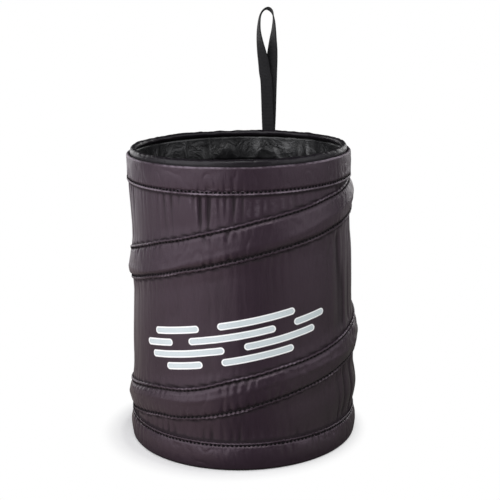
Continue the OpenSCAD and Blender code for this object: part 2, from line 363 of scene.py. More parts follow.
def printed_satin(name):
    """The wall's satin with the pale dashes printed on it."""
    finish = Finish(name)
    c = colours()
    along, across, base, rough, height = satin_body(
        finish, c.satin, c.satin_painted_shade, c.satin_painted_highlight, slack=0.3 * MM)
    stretch = math.hypot(1.0, PRINT_SLOPE)
    east, north = 1.0 / stretch, PRINT_SLOPE / stretch
    dx = along - wall_along(math.radians(PRINT_TURN))
    dy = across - PRINT_HEIGHT
    ink, core = dash_masks(dx * east + dy * north, dy * east - dx * north, stretch)
    grain = finish.cloth_noise(along * 900.0, across * 900.0, 2.0, 0.6)
    film = ink * (1.0 - (grain - 0.62).ramp(0.0, 0.12) * 0.28)
    cloudy = finish.noise(finish.cloth_place(), 60.0, 2.0)
    pale = finish.mix(cloudy, scaled(c.ink, 0.92), scaled(c.ink, 1.10))
    pale = finish.mix(core, [0.90, 0.92, 0.92], pale)
    printed = finish.mix(film, base, pale)
    return finish.surface(printed, height + ink * (0.03 * MM), Roughness=rough + ink * 0.12, **SATIN_SHEEN)


def dark_satin(name):
    finish = Finish(name)
    c = colours()
    _, _, base, rough, height = satin_body(finish, c.roll, scaled(c.roll, 0.25), scaled(c.satin_painted_highlight, 0.3))
    return finish.surface(base, height, Roughness=rough, IOR=1.35)


def coated_lining(name):
    finish = Finish(name)
    black = colours().lining
    along, across = finish.cloth_uv()
    place = finish.cloth_place()
    creased = 1.0 - abs(finish.noise(place, 70.0, 4.0, 0.6, 0.9) * 2.0 - 1.0)
    fine = finish.noise(place, 240.0, 2.0, 0.5)
    dust = (finish.noise(place, 420.0, 2.0, 0.7) - 0.62).ramp(0.0, 0.2)
    base = finish.mix(dust * 0.35, black, scaled(black, 5))
    # Painted highlight: the crests of the creases are painted lighter
    base = finish.mix((creased ** 6.0) * 0.35, base, scaled(black, 2.4))
    height = (creased ** 3.0) * (0.35 * MM) + fine * (0.06 * MM) + weave(along, across, 0.5 * MM, 0.004 * MM)
    return finish.surface(base, height, Roughness=0.27 + fine * 0.12 + dust * 0.2, IOR=1.5, Coat_Weight=0.25,
                          Coat_Roughness=0.18)


def ribbed_webbing(name):
    finish = Finish(name)
    black = colours().webbing
    along, across = finish.cloth_uv()
    fibres = finish.cloth_noise(along * 420.0, across * 2600.0, 2.0, 0.6)
    ends = (across * (TAU / (0.62 * MM))).sine()
    rub = finish.cloth_noise(along * 90.0, across * 60.0, 2.0)
    base = finish.mix((fibres * 0.7 + rub * 0.5 - 0.25).at_least(0.0).at_most(1.0),
                      scaled(black, 0.7), scaled(black, 2.6))
    # Painted highlight: a pale line painted along one edge of the webbing's front face
    edge_highlight = (across - WEB_SIDE).ramp(4.25 * MM, 4.5 * MM)
    base = finish.mix(edge_highlight * 0.6, base, scaled(black, 9))
    height = ends * (0.03 * MM) + (fibres - 0.5) * (0.06 * MM)
    return finish.surface(base, height, Roughness=0.52 + fibres * 0.2, IOR=1.3)


def twisted_thread(name):
    finish = Finish(name)
    thread = colours().thread
    place = finish.place()
    fuzz = finish.noise(place, 2600.0, 2.0, 0.6)
    tint = finish.noise(place, 90.0, 1.0)
    base = finish.mix(fuzz * 0.6 + tint * 0.4, thread, scaled(thread, 3.2))
    return finish.surface(base, (fuzz - 0.5) * (0.05 * MM), Roughness=0.6 + fuzz * 0.2, IOR=1.2)


def drawn_steel(name):
    finish = Finish(name)
    steel = colours().steel
    place = finish.place()
    drawn = finish.noise(place, 900.0, 2.0, 0.6)
    heat = finish.noise(place, 60.0, 2.0)
    base = finish.mix(drawn * 0.5 + heat * 0.4, steel, scaled(steel, 0.62))
    return finish.surface(base, (drawn - 0.5) * (0.02 * MM), Metallic=1.0, Roughness=0.30 + drawn * 0.14)


def pressed_sleeve(name):
    finish = Finish(name)
    drawn = finish.noise(finish.place(), 700.0, 2.0, 0.6)
    base = finish.mix(drawn, [0.42, 0.41, 0.40], [0.28, 0.27, 0.27])
    return finish.surface(base, (drawn - 0.5) * (0.03 * MM), Metallic=1.0, Roughness=0.38 + drawn * 0.15)


def moulded_cap(name):
    finish = Finish(name)
    place = finish.place()
    grain = finish.noise(place, 1500.0, 2.0, 0.6)
    cloud = finish.noise(place, 120.0, 2.0)
    base = finish.mix(cloud, [0.012, 0.012, 0.013], [0.022, 0.022, 0.023])
    return finish.surface(base, (grain - 0.5) * (0.03 * MM), Roughness=0.5 + grain * 0.12)


def studio_floor(name):
    """Pale floor that keeps the shadow and goes to plain white for the camera further out."""
    finish = Finish(name)
    c = colours()
    place = finish.place()
    x, y = finish.split(place)
    away = (x * x + y * y).root()
    # The white glow comes nearer the foot on the right, so less of the shadow shows there
    away_right = away + x * 0.07
    far = away_right.ramp(0.080, 0.085) * 0.25 + away_right.ramp(0.082, 0.098) * 0.55 + 0.2
    seen = Value(finish, finish.node("ShaderNodeLightPath").outputs["Is Camera Ray"])
    paper = finish.mix(finish.noise(place, 900.0, 2.0), scaled(c.floor, 0.99), c.floor)
    # For everything but the camera the floor's colour is painted: bright to the left, less to the right, dark
    # in front and dark close round the foot, with warm, green and cool tints, as painted reflections and
    # bounce light for the bin's sheen and painted shade round its foot
    left = (-(x / away)).ramp(0.14, 0.36)
    right = (x / away).ramp(0.26, 0.55)
    front = (-(y / away)).ramp(-0.1, 0.75)
    lit = finish.mix(away.ramp(0.1, 1.0), c.bounce, c.far_bounce)
    lit = finish.mix(right * (1.0 - away.ramp(0.12, 0.7)), lit, c.right_bounce)
    share = (left * (0.46 + front * 0.38 + away.ramp(0.2, 0.62) * 0.5)
             + right * (0.15 + front * 0.22 + away.ramp(0.1, 0.6) * 0.22))
    thrown = finish.mix(share * away.ramp(0.078, 0.108), scaled(c.bounce, 0.12), lit)
    paper = finish.mix(seen, thrown, paper)
    matte = finish.node("ShaderNodeBsdfPrincipled", None, {"Base Color": paper, "Roughness": 0.7})
    white = finish.node("ShaderNodeEmission", None, {"Color": (1, 1, 1, 1), "Strength": 1.0})
    both = finish.node("ShaderNodeMixShader", None, {0: seen * far, 1: matte.outputs[0], 2: white.outputs[0]})
    finish.node("ShaderNodeOutputMaterial", None, {0: both.outputs[0]})
    return finish.material


FINISHES = {
    "printed_satin": printed_satin, "hem_satin": satin, "roll_satin": dark_satin,
    "coated_lining": coated_lining, "ribbed_webbing": ribbed_webbing, "twisted_thread": twisted_thread,
    "drawn_steel": drawn_steel, "pressed_sleeve": pressed_sleeve, "moulded_cap": moulded_cap,
    "studio_floor": studio_floor}


def finish_of(name):
    """The material of that name, made the first time that it is asked for."""
    return bpy.data.materials.get(name) or FINISHES[name](name)


# Shape maths

def smooth(t):
    t = np.clip(t, 0.0, 1.0)
    return t * t * (3.0 - 2.0 * t)


def relief(turn, height, cells, rows, seed):
    """Smooth random relief from -1 to 1 that closes on itself at each whole turn."""
    grid = np.random.default_rng(seed).uniform(-1.0, 1.0, (rows + 2, cells))
    u = (turn % 1.0) * cells
    v = np.clip(height, 0.0, 0.9999) * rows
    i = np.floor(u).astype(int)
    j = np.floor(v).astype(int)
    fu, fv = smooth(u - i), smooth(v - j)
    low = grid[j, i % cells] * (1 - fu) + grid[j, (i + 1) % cells] * fu
    high = grid[j + 1, i % cells] * (1 - fu) + grid[j + 1, (i + 1) % cells] * fu
    return low * (1 - fv) + high * fv


def drift(turn, cells, seed):
    """Smooth random change along a turn alone, from -1 to 1."""
    return relief(turn, turn * 0, cells, 1, seed)


def creases(turn, height, cells, rows, seed, width=0.35):
    """Narrow winding ridges from 0 to 1 where the relief crosses zero."""
    return np.clip(1.0 - np.abs(relief(turn, height, cells, rows, seed)) / width, 0.0, 1.0) ** 1.5


def bump_at(x, centre, half):
    """A round bump of height 1 about a centre."""
    return np.clip(1.0 - ((x - centre) / half) ** 2, 0.0, 1.0)


def fading(x, spread, power=2):
    """1 at 0, falling with distance from it. A higher power makes it flatter and then steeper."""
    return np.exp(-(np.abs(x) / spread) ** power)


def facing(a, degrees, spread):
    """1 at a turn round the bin, fading with distance from it."""
    return fading((np.degrees(a) - degrees + 180.0) % 360.0 - 180.0, spread)


def ripples(phase, power=1.0):
    """Rounded ridges from 0 to 1. A higher power makes them narrower."""
    return (0.5 + 0.5 * np.cos(phase)) ** power


def arch(t, power=1.0):
    """0 at both ends of 0 to 1 and 1 in its middle."""
    return np.sin(np.clip(t, 0, 1) * math.pi) ** power


def units(vectors):
    """The vectors at length 1."""
    return vectors / np.linalg.norm(vectors, axis=1)[:, None]


# Places where the casing hangs lower: turn and spread in degrees, drop in millimetres
SPIRAL_DROPS = ((-530.0, 38.0, 2.2), (-475.0, 18.0, 2.4), (-360.0, 24.0, 2.0))


def spiral_height(a):
    """Height of the casing's middle at a turn in degrees: 0 is the right side and -90 the front."""
    s = sizes()
    slow = (s.slow_height - s.spiral_top) / s.spiral_pitch * 360.0
    z = s.spiral_top + s.spiral_pitch * a / 360.0
    z = z + s.spiral_sway * np.cos(np.radians(1.5 * (a + 75.0))) * smooth((a + 360.0) / 180.0)
    for turn, spread, drop in SPIRAL_DROPS:
        z = z - drop * MM * fading(a - turn, spread)
    late = np.where(a > slow, 0.0, np.where(
        a > slow - 180.0, ((a - slow) / 180.0) ** 2, 1.0 - 2.0 * (a - slow + 180.0) / 180.0))
    return z + s.spiral_pitch / 8.0 * late


def wall_share(z):
    """Share of the way up the wall, between its two bands."""
    s = sizes()
    return (z - s.base_band_height) / (s.band_bottom - s.base_band_height)


def wall_radius(z):
    """Outer face of the wall before it is gathered."""
    s = sizes()
    top = s.mouth_radius - s.hem_cloth - s.clearance
    foot = s.foot_radius - s.hem_cloth - s.clearance
    return foot + (top - foot) * np.clip(wall_share(z), 0, 1)


def wall_along(a):
    """Distance along the wall's cloth from the seam at the back, at a turn in radians."""
    return ((a - SEAM_TURN) % TAU) * CLOTH_RADIUS


def casing_half(a, lower):
    """Half the casing's height at a turn in degrees. Its lower side hangs deeper in front."""
    deeper = 2.3 * MM * fading(a + 95.0, 80.0, 6) + 1.8 * MM * fading(a + 452.0, 20.0)
    return sizes().casing_height / 2 + np.where(lower, deeper, 0.0)


def casing_side(a, z):
    """Where a point of the wall lies across the nearest stretch of casing: 0 its middle, 1 its upper seam."""
    start = (np.degrees(a) + 290.0) % 360.0 - 290.0
    found = None
    for turns in range(3):
        side = z - spiral_height(start - 360.0 * turns)
        side = side / casing_half(start - 360.0 * turns, side < 0)
        found = side if found is None else np.where(np.abs(side) < np.abs(found), side, found)
    return found


def body_shape(a, z):
    """Slow swells and hollows that the wall and the casing share."""
    turn = a / TAU
    share = wall_share(z)
    ends = smooth(share / 0.14) * smooth((1.0 - share) / 0.14)
    slow = relief(turn, share, 7, 4, 11) * 0.5 + relief(turn, share, 13, 7, 12) * 0.25
    bow = sizes().bow * np.cos(a) * smooth((share - 0.1) / 0.5) * smooth((1.0 - share) / 0.35)
    swell = (1.25 + 0.75 * np.cos(a)) * MM * smooth(share / 0.12) * smooth((0.52 - share) / 0.26)
    swell = swell + 1.7 * MM * facing(a, 0, 45) * bump_at(z, 38 * MM, 14 * MM)
    return slow * MM * ends + bow + swell


def gather_valley(a, down, seed=21):
    """Valleys of the gathers, 0 to 1, at a distance below the seam that gathers them."""
    turn = a / TAU
    phase = (sizes().gathers * a + 2.6 * relief(turn, down / 0.2, 43, 3, seed)
             + 1.2 * relief(turn, down / 0.2, 90, 6, seed + 1))
    return ripples(phase, 1.8) * np.clip(0.6 + 0.7 * drift(turn, 47, seed + 3), 0.05, 1.2)


def gathered(a):
    """How strongly the cloth is gathered under the top band at a turn round the bin."""
    return (0.22 + 1.15 * facing(a, -101, 20) + 0.75 * facing(a, -172, 18) + 0.3 * facing(a, -20, 20)
            + 0.5 * facing(a, 80, 70))


def foot_gathered(a):
    """How strongly the cloth is gathered over the base band at a turn round the bin."""
    return 0.55 + 0.5 * facing(a, -70, 30) + 0.4 * facing(a, -160, 25)


def let_out(away, reach):
    """How much of a gather is left at a distance from its seam."""
    return fading(np.maximum(away, 0), reach, 1.5) * smooth(away / (1.2 * MM))


def gather_folds(a, z):
    """Narrow folds that the wall takes at both bands, and how strongly the ridges between them get painted
    highlight.
    """
    s = sizes()
    turn = a / TAU
    down = s.band_bottom - z
    up = z - s.base_band_height
    valley = gather_valley(a, down)
    deep = s.gather_depth * gathered(a) * let_out(down, (13.0 + 11.0 * drift(turn, 37, 23)) * MM)
    low = s.foot_gather_depth * foot_gathered(a) * let_out(up, (11.0 + 7.0 * drift(turn, 41, 25)) * MM)
    return -(deep + low) * valley, (1.0 - np.minimum(valley, 1)) ** 3 * (deep * 0.6 + low * 0.2)


def wall_shape(a, z):
    """How far the outer wall stands from its plain cone, and the depth of its tucks."""
    s = sizes()
    turn = a / TAU
    share = wall_share(z)
    down = s.band_bottom - z
    up = z - s.base_band_height
    side = casing_side(a, z)
    clear = np.maximum(np.abs(side) - 1.02, 0.0) * s.casing_height / 2
    free = smooth(clear / (9 * MM))
    hollow = -0.6 * MM * free * smooth(down / (30 * MM)) * smooth(up / (30 * MM))
    places = (0.10 + 1.9 * facing(a, -20, 18) + 0.7 * facing(a, -174, 18) + 0.30 * facing(a, -104, 16)
              + 0.3 * facing(a, 90, 60))
    long_folds = (creases(turn + 0.008 * share, share, 92, 2, 31, 0.5) * 0.62
                  + relief(turn, share, 120, 3, 32) * 0.14)
    swing = creases(turn + 0.10 * share, share, 26, 3, 36, 0.4) * 0.25
    off_seam = smooth(clear / (0.8 * MM))
    near = fading(clear, 4.5 * MM, 1) * off_seam
    phase = TAU * turn * 88 + 2.5 * relief(turn, share, 60, 12, 33)
    pucker = np.cos(phase) * (0.6 + 0.4 * relief(turn, share, 23, 9, 34)) * near * 0.14 * MM
    hang = fading(clear, np.where(side < 0, 9.0, 4.5) * MM, 1) * off_seam
    hung = ripples(phase, 1.6) * hang * np.clip(0.5 + 0.6 * relief(turn, share, 31, 7, 37), 0, 1)
    fine = creases(turn + share * 0.31, share, 70, 16, 35, 0.3) * 0.14 * MM * (0.4 + 0.6 * near)
    tucks = (long_folds * places + swing) * free * MM + hung * 0.62 * MM * (0.6 + 0.6 * places)
    folds = gather_folds(a, z)[0] * (0.35 + 0.65 * free)
    inside = smooth(down / (1.2 * MM)) * smooth(up / (1.2 * MM))
    return (body_shape(a, z) + folds + hollow - tucks - pucker - fine) * inside, tucks * inside


# Mesh helpers

def hooped(profile, steps, closed=False):
    """A bmesh of a profile of (radius, height) carried once round the bin, from a grid bent into a hoop."""
    points = np.array([*profile, profile[0]] if closed else profile)
    bm = field(steps, len(points) - 1)
    ways = [(math.cos(TAU * k / steps), math.sin(TAU * k / steps)) for k in range(steps)]
    for v in bm.verts:
        c, n = ways[round((v.co.x + 1) / 2 * steps) % steps]
        r, z = points[round((v.co.y + 1) / 2 * (len(points) - 1))]
        v.co = (r * c, r * n, z)
    bmesh.ops.remove_doubles(bm, verts=bm.verts[:], dist=1e-6)
    bmesh.ops.recalc_face_normals(bm, faces=bm.faces[:])
    return bm


def tube(radius, low, high, rows, steps):
    """A bmesh of a plain tube."""
    return hooped([(radius, low + (high - low) * k / rows) for k in range(rows + 1)], steps)


def field(along, across):
    """A bmesh grid over -1 to 1 both ways, whose points are laid out afterwards."""
    bm = bmesh.new()
    bmesh.ops.create_grid(bm, x_segments=along, y_segments=across, size=1.0)
    return bm


def taken(mesh):
    co = np.empty(len(mesh.vertices) * 3)
    mesh.vertices.foreach_get("co", co)
    return co.reshape(-1, 3)


def given(mesh, co):
    mesh.vertices.foreach_set("co", np.ascontiguousarray(co, dtype=np.float32).ravel())
    mesh.update()


def polar(co):
    return np.arctan2(co[:, 1], co[:, 0]), np.hypot(co[:, 0], co[:, 1]), co[:, 2].copy()


def from_polar(a, r, z):
    return np.stack([r * np.cos(a), r * np.sin(a), z], -1)


def mesh_of(bm, name):
    mesh = bpy.data.meshes.new(name)
    bm.to_mesh(mesh)
    bm.free()
    return mesh


def reworked(mesh, work):
    """Runs work on a bmesh of the mesh and puts the result back in it."""
    bm = bmesh.new()
    bm.from_mesh(mesh)
    work(bm)
    bm.to_mesh(mesh)
    bm.free()


def close_tube(bm):
    """Joins a bent grid along its length and caps its two ends."""
    bmesh.ops.remove_doubles(bm, verts=bm.verts[:], dist=1e-6)
    bmesh.ops.holes_fill(bm, edges=[e for e in bm.edges if e.is_boundary], sides=0)
    bmesh.ops.recalc_face_normals(bm, faces=bm.faces[:])


def placed(name, data):
    """A new object in the scene."""
    obj = bpy.data.objects.new(name, data)
    bpy.context.scene.collection.objects.link(obj)
    return obj


def piece(name, mesh, finish, body):
    mesh.shade_smooth()
    obj = placed(name, mesh)
    mesh.materials.append(finish_of(finish))
    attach(obj, body)
    return obj


def mark(mesh, u, v, place, painted_shading, wrap=None):
    """Stores the cloth's own coordinates: a UV map in metres, the place at rest, and the painted shading,
    shade below 0 and highlight above 0.
    """
    loops = np.empty(len(mesh.loops), dtype=np.int32)
    mesh.loops.foreach_get("vertex_index", loops)
    lu, lv = u[loops], v[loops]
    if wrap is not None:
        starts = np.empty(len(mesh.polygons), dtype=np.int32)
        counts = np.empty(len(mesh.polygons), dtype=np.int32)
        mesh.polygons.foreach_get("loop_start", starts)
        mesh.polygons.foreach_get("loop_total", counts)
        face = np.repeat(np.arange(len(starts)), counts)
        most = np.maximum.reduceat(lu, starts)[face]
        lu = np.where(most - lu > wrap / 2, lu + wrap, lu)
    layer = mesh.uv_layers.new(name="cloth")
    layer.data.foreach_set("uv", np.stack([lu, lv], -1).astype(np.float32).ravel())
    where = mesh.attributes.new("place", "FLOAT_VECTOR", "POINT")
    where.data.foreach_set("vector", np.ascontiguousarray(place, dtype=np.float32).ravel())
    edge = mesh.attributes.new("painted_shading", "FLOAT", "POINT")
    edge.data.foreach_set("value", np.broadcast_to(painted_shading, len(u)).astype(np.float32).copy())


def arc(cx, cz, radius, start, end, count):
    """Points of (radius, height) on an arc, by angles in degrees."""
    return [(cx + radius * math.cos(math.radians(t)), cz + radius * math.sin(math.radians(t)))
            for t in np.linspace(start, end, count)]


def line(start, end, count):
    """Points from start to end, without the end."""
    return [tuple(np.array(start) + (np.array(end) - np.array(start)) * k / count) for k in range(count)]


def thicken(bm, thickness):
    """Gives an open sheet its thickness, inwards from the side that its faces point to."""
    bmesh.ops.solidify(bm, geom=bm.faces[:], thickness=thickness)
    bmesh.ops.recalc_face_normals(bm, faces=bm.faces[:])


# The outer wall

def make_outer_wall():
    s = sizes()
    low, high = s.base_band_height - 3.5 * MM, s.band_bottom + 3.5 * MM
    mesh = mesh_of(tube(80 * MM, low, high, 80, 600), "outer_wall_cloth")
    a, _, z = polar(taken(mesh))
    d, tucks = wall_shape(a, z)
    away = ((a - SEAM_TURN + math.pi) % TAU - math.pi) * wall_radius(z)
    side = np.abs(casing_side(a, z))
    step = smooth((away + 0.4 * MM) / (0.5 * MM)) * smooth((7.5 * MM - away) / (7 * MM))
    d = d + step * 0.45 * MM * smooth((side - 1.0) / 0.2)
    given(mesh, from_polar(a, wall_radius(z) + d, z))
    # Painted shading: painted shade in the grooves along the casing's and the bands' seams, in the gather
    # valleys and in the tucks, and painted highlight on the ridges between the gathers
    clear = (side - 1.06) * s.casing_height / 2
    groove = np.maximum(bump_at(clear, 0.7 * MM, 1.6 * MM), bump_at(z, s.band_bottom - 0.3 * MM, 1.5 * MM))
    groove = np.maximum(groove, bump_at(z, s.base_band_height + 0.3 * MM, 1.5 * MM))
    valley, ridge_highlight = gather_folds(a, z)
    painted_shading = np.clip((valley - 0.8 * tucks) / MM, -0.75, 0) + np.clip(ridge_highlight / MM, 0, 0.4)
    painted_shading = np.minimum(painted_shading, -0.9 * groove + np.maximum(painted_shading, 0) * (groove < 0.2))
    mark(mesh, wall_along(a), z, from_polar(a, CLOTH_RADIUS, z), painted_shading, wrap=CLOTH_ROUND)
    reworked(mesh, lambda bm: thicken(bm, s.cloth))
    wall = piece("outer_wall_cloth", mesh, "printed_satin", "base")
    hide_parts("outer_wall")
    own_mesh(wall)


# The casing of the spiral wire

# Turns in degrees at the casing's upper and lower ends
CASING_START = 74.0
CASING_END = -690.0
# Cloth beyond each seam, as a share of the casing's half height
FLANGE = 0.10
CASING_PUCKERS = 395
# Rises over the wall: the casing's cut edge, the foot of its bulge and the wire's middle
EDGE_RISE = 0.22 * MM
BULGE_FOOT = 0.62 * MM
WIRE_OUT = 1.2 * MM
# Radius of the cloth round the wire
WIRE_COVER = 1.25 * MM
# Where the wire pushes up or down: turn and spread in degrees, share of the casing's half height
WIRE_PUSHES = ((-508.0, 26.0, 0.30), (-550.0, 20.0, -0.36), (-362.0, 24.0, -0.34), (-125.0, 78.0, -0.72))


def casing_run(a):
    """Share of the casing's length, from its lower end, at a turn in degrees."""
    return (a - CASING_END) / (CASING_START - CASING_END)


def casing_full(a):
    """How far the casing's cloth hangs flat from its upper seam to the wire, instead of rounding off."""
    return 0.45 + 0.45 * fading(a + 105.0, 85.0, 4) + 0.4 * fading(a + 425.0, 50.0, 4)


def casing_profile(t, a, wander):
    """Rise of the casing's outer face over the wall, from -1.1 at its lower edge to 1.1 at its upper one."""
    seam = 1.0 - FLANGE
    inner = np.clip(np.abs(t) / seam, 0.0, 1.0)
    crown = (t - wander) / seam
    full = casing_full(a)
    soft = np.cos(np.clip(crown, -1, 1) * math.pi / 2) ** 1.25
    above = np.clip((t - wander) / (seam - wander), 0, 1)
    below = np.clip((wander - t) / (seam + wander), 0, 1)
    lean = 0.26 + 0.46 * fading(a + 135.0, 46.0, 6)
    soft = soft + (1.0 - lean * above - 0.25 * below ** 2 - soft) * full
    closing = 0.35 - np.where(t < 0, 0.17, 0.08) * full
    bulge = (0.86 * soft + 0.14 * fading(crown, 0.18)) * smooth((1.0 - inner) / closing)
    body = BULGE_FOOT + (sizes().casing_rise - BULGE_FOOT) * bulge
    flange = 0.55 * MM + 0.75 * MM * bump_at(np.abs(t), 1.0 + 0.25 * FLANGE, 1.05 * FLANGE)
    rise = np.where(np.abs(t) < seam, body, flange)
    edge = smooth((1.0 + 1.1 * FLANGE - np.abs(t)) / (0.6 * FLANGE))
    return EDGE_RISE + (rise - EDGE_RISE) * edge


def casing_sink(z):
    """1 where the casing stands free, 0 where it slips under a band."""
    s = sizes()
    down = s.band_bottom + 0.5 * MM - z
    up = z - s.base_band_height + 0.5 * MM
    return smooth(down / (7 * MM)) * smooth(up / (7 * MM))


def casing_wander(a):
    """How far the wire pushes its crown above the casing's middle, as a share of the casing's half height."""
    wander = 0.05 + 0.16 * drift(casing_run(a) * 3.0, 11, 41)
    for turn, spread, push in WIRE_PUSHES:
        wander = wander + push * fading(a - turn, spread)
    return np.clip(wander, -0.68, 0.5) * smooth((a + 665.0) / 40.0) * smooth((40.0 - a) / 40.0)


def casing_tucks(a, t, wander):
    """Depth, 0 to about 1, of the tucks that run in from the casing's seams."""
    rad = np.radians(a)
    run = casing_run(a)
    gap = (1.0 - FLANGE - np.abs(t)) * sizes().casing_height / 2
    reach = np.where(t > 0, 6.0 + 3.0 * drift(run, 83, 48), 3.5) * MM
    phase = TAU * 202 * run + 2.6 * relief(run, (t + 1.2) / 2.4, 97, 2, 47)
    places = (0.25 + 1.1 * facing(rad, -100, 16) + 0.6 * facing(rad, -168, 16) + 0.5 * facing(rad, -148, 10)
              + 0.4 * facing(rad, -20, 20) + 0.3 * facing(rad, 90, 60))
    tuck = ripples(phase, 1.6) * np.clip(0.65 + 0.7 * drift(run, 131, 51), 0.1, 1.2) * places
    tuck = tuck * fading(np.maximum(gap, 0), reach, 1.5) * smooth(gap / (0.8 * MM) + 0.4)
    return tuck * (1.0 - 0.6 * fading(t - wander, 0.3))


def casing_place(a, t):
    """Radius, height and tuck depth of the casing's outer face at a turn in degrees and a place across it."""
    half = sizes().casing_height / 2
    rad = np.radians(a)
    run = casing_run(a)
    across = (t + 1.2) / 2.4
    wander = casing_wander(a)
    lean = run + 0.006 * t
    folds = relief(lean, across, 120, 3, 42) * 0.30 + relief(lean + 0.004 * t, across, 260, 4, 43) * 0.16
    folds = folds - creases(lean - 0.009 * t, across, 170, 3, 44, 0.4) * 0.34
    busy = (0.35 + 0.45 * np.clip(drift(run, 31, 45) + 0.3, 0, 1) + 0.4 * facing(rad, -104, 22)
            + 0.5 * facing(rad, -172, 16) + 0.4 * facing(rad, -12, 16))
    pucker = ripples(TAU * run * CASING_PUCKERS + 3.0 * relief(run, across, 200, 2, 46) + 2.2 * np.abs(t))
    pucker = pucker * fading((np.abs(t) - (1.0 - FLANGE)) * half, 3.0 * MM, 1)
    pucker = pucker * smooth((1.08 - np.abs(t)) / 0.1)
    tuck = casing_tucks(a, t, wander)
    rise = casing_profile(t, a, wander) + folds * MM * smooth((0.97 - np.abs(t)) / 0.35) * busy
    rise = rise - 0.20 * MM * pucker - 1.25 * MM * tuck
    over_wire = np.abs(t - wander) * half / WIRE_COVER
    cover = WIRE_OUT + WIRE_COVER * np.sqrt(np.clip(1.0 - over_wire ** 2, 0, 1))
    rise = np.where(over_wire < 1, np.maximum(rise, cover), rise)
    z = spiral_height(a) + t * casing_half(a, t < 0)
    sink = casing_sink(z)
    rise = 0.12 * MM + np.maximum(rise - 0.12 * MM, 0.05 * MM) * sink
    wave = 0.22 * MM * np.cos(TAU * run * CASING_PUCKERS / 2) * fading(np.abs(t) - 1.05, 0.12)
    stray = np.where(t > 0, drift(run, 59, 49), drift(run, 67, 50)) * 0.35 * MM * np.abs(t)
    return wall_radius(z) + body_shape(rad, z) * sink + rise, z + wave + stray, tuck


def casing_stitches():
    """Stitches along one edge of the casing."""
    return int(math.radians(CASING_START - CASING_END) * CLOTH_RADIUS / sizes().stitch_pitch)


def close_casing(bm):
    """Cuts the casing off inside both bands, turns it outwards and gives it its thickness."""
    s = sizes()
    for height, way in ((s.band_bottom - 0.05 * MM, 1), (s.base_band_height + 0.05 * MM, -1)):
        bmesh.ops.bisect_plane(bm, geom=bm.verts[:] + bm.edges[:] + bm.faces[:], plane_co=(0, 0, height),
                               plane_no=(0, 0, way), clear_outer=True)
    bmesh.ops.recalc_face_normals(bm, faces=bm.faces[:])
    if sum(f.normal.xy.dot(f.calc_center_median().xy) for f in bm.faces[:400]) < 0:
        bmesh.ops.reverse_faces(bm, faces=bm.faces[:])
    thicken(bm, THIN_CLOTH)


def make_spiral_casing():
    s = sizes()
    mesh = mesh_of(field(1400, 26), "spiral_casing_cloth")
    co = taken(mesh)
    a = CASING_END + (CASING_START - CASING_END) * (co[:, 0] + 1) / 2
    t = np.sign(co[:, 1]) * (1.0 - (1.0 - np.abs(co[:, 1])) ** 1.35) * (1.0 + 1.1 * FLANGE)
    rad = np.radians(a)
    run = casing_run(a)
    r, z, tuck = casing_place(a, t)
    given(mesh, from_polar(rad, r, z))
    seam = np.abs(t) - (1.0 - FLANGE)
    # Painted shading: flecks of painted highlight on the seam lips between the stitches, more of them on the
    # left, and painted shade in the stitch line, at the casing's outer edge and in the tucks
    highlight_share = 0.5 + 1.3 * relief(run, np.where(t > 0, 0.2, 0.7), 61, 3, 52) + 0.8 * facing(rad, -150, 30)
    ticks = 0.62 - 0.38 * np.cos(TAU * (run - 1.0) * (casing_stitches() - 1))
    ticks = ticks * np.clip(highlight_share, 0.05, 1.1)
    painted_shading = ticks * bump_at(seam, 1.3 * FLANGE, 0.9 * FLANGE) - bump_at(seam, -0.1 * FLANGE, 1.15 * FLANGE)
    painted_shading = painted_shading - 0.5 * smooth((seam - 1.75 * FLANGE) / (0.3 * FLANGE))
    painted_shading = painted_shading - 0.7 * np.minimum(tuck, 1) * (seam < 0)
    place = from_polar(rad, 84 * MM, z) + np.array([0.3, 0.1, 0.2])
    mark(mesh, np.radians(a - CASING_END) * CLOTH_RADIUS, t * s.casing_height / 2, place, painted_shading)
    reworked(mesh, close_casing)
    casing = piece("spiral_casing_cloth", mesh, "hem_satin", "base")
    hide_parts("spiral_casing")
    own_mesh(casing)


def make_spiral_spring():
    """The spring wire in the casing."""
    mesh = mesh_of(field(620, 8), "spiral_spring")
    co = taken(mesh)
    low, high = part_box("spiral_wire")
    turns = np.linspace(CASING_END, CASING_START, 4000)
    heights = spiral_height(turns)
    inside = turns[(heights > low.z + WIRE_RADIUS) & (heights < high.z - WIRE_RADIUS)]
    a = inside[0] + (inside[-1] - inside[0]) * (co[:, 0] + 1) / 2
    wander = casing_wander(a)
    middle = spiral_height(a) + wander * casing_half(a, wander < 0)
    r = wall_radius(middle) + body_shape(np.radians(a), middle) * casing_sink(middle) + WIRE_OUT
    round_it = math.pi * (co[:, 1] + 1)
    r = r + WIRE_RADIUS * np.cos(round_it)
    given(mesh, from_polar(np.radians(a), r, middle + WIRE_RADIUS * np.sin(round_it)))
    reworked(mesh, close_tube)
    wire = piece("spiral_spring", mesh, "drawn_steel", "base")
    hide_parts("spiral_wire")
    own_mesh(wire)


# The bands

def band_shape(a, z, low, high, seed):
    """Slack of a band's cloth: long soft waves and sharper creases, more of them in a few places."""
    share = (z - low) / (high - low)
    turn = a / TAU
    waves = (relief(turn + 0.02 * share, share, 34, 2, seed) * 0.38
             + relief(turn, share, 90, 3, seed + 1) * 0.14)
    sharp = creases(turn + 0.01 * share, share, 88, 2, seed + 2, 0.4) * 0.34
    places = 0.55 + 0.6 * facing(a, -168, 22) + 0.45 * facing(a, -104, 22) + 0.4 * facing(a, -20, 20)
    return (waves * 0.7 - sharp * places) * MM


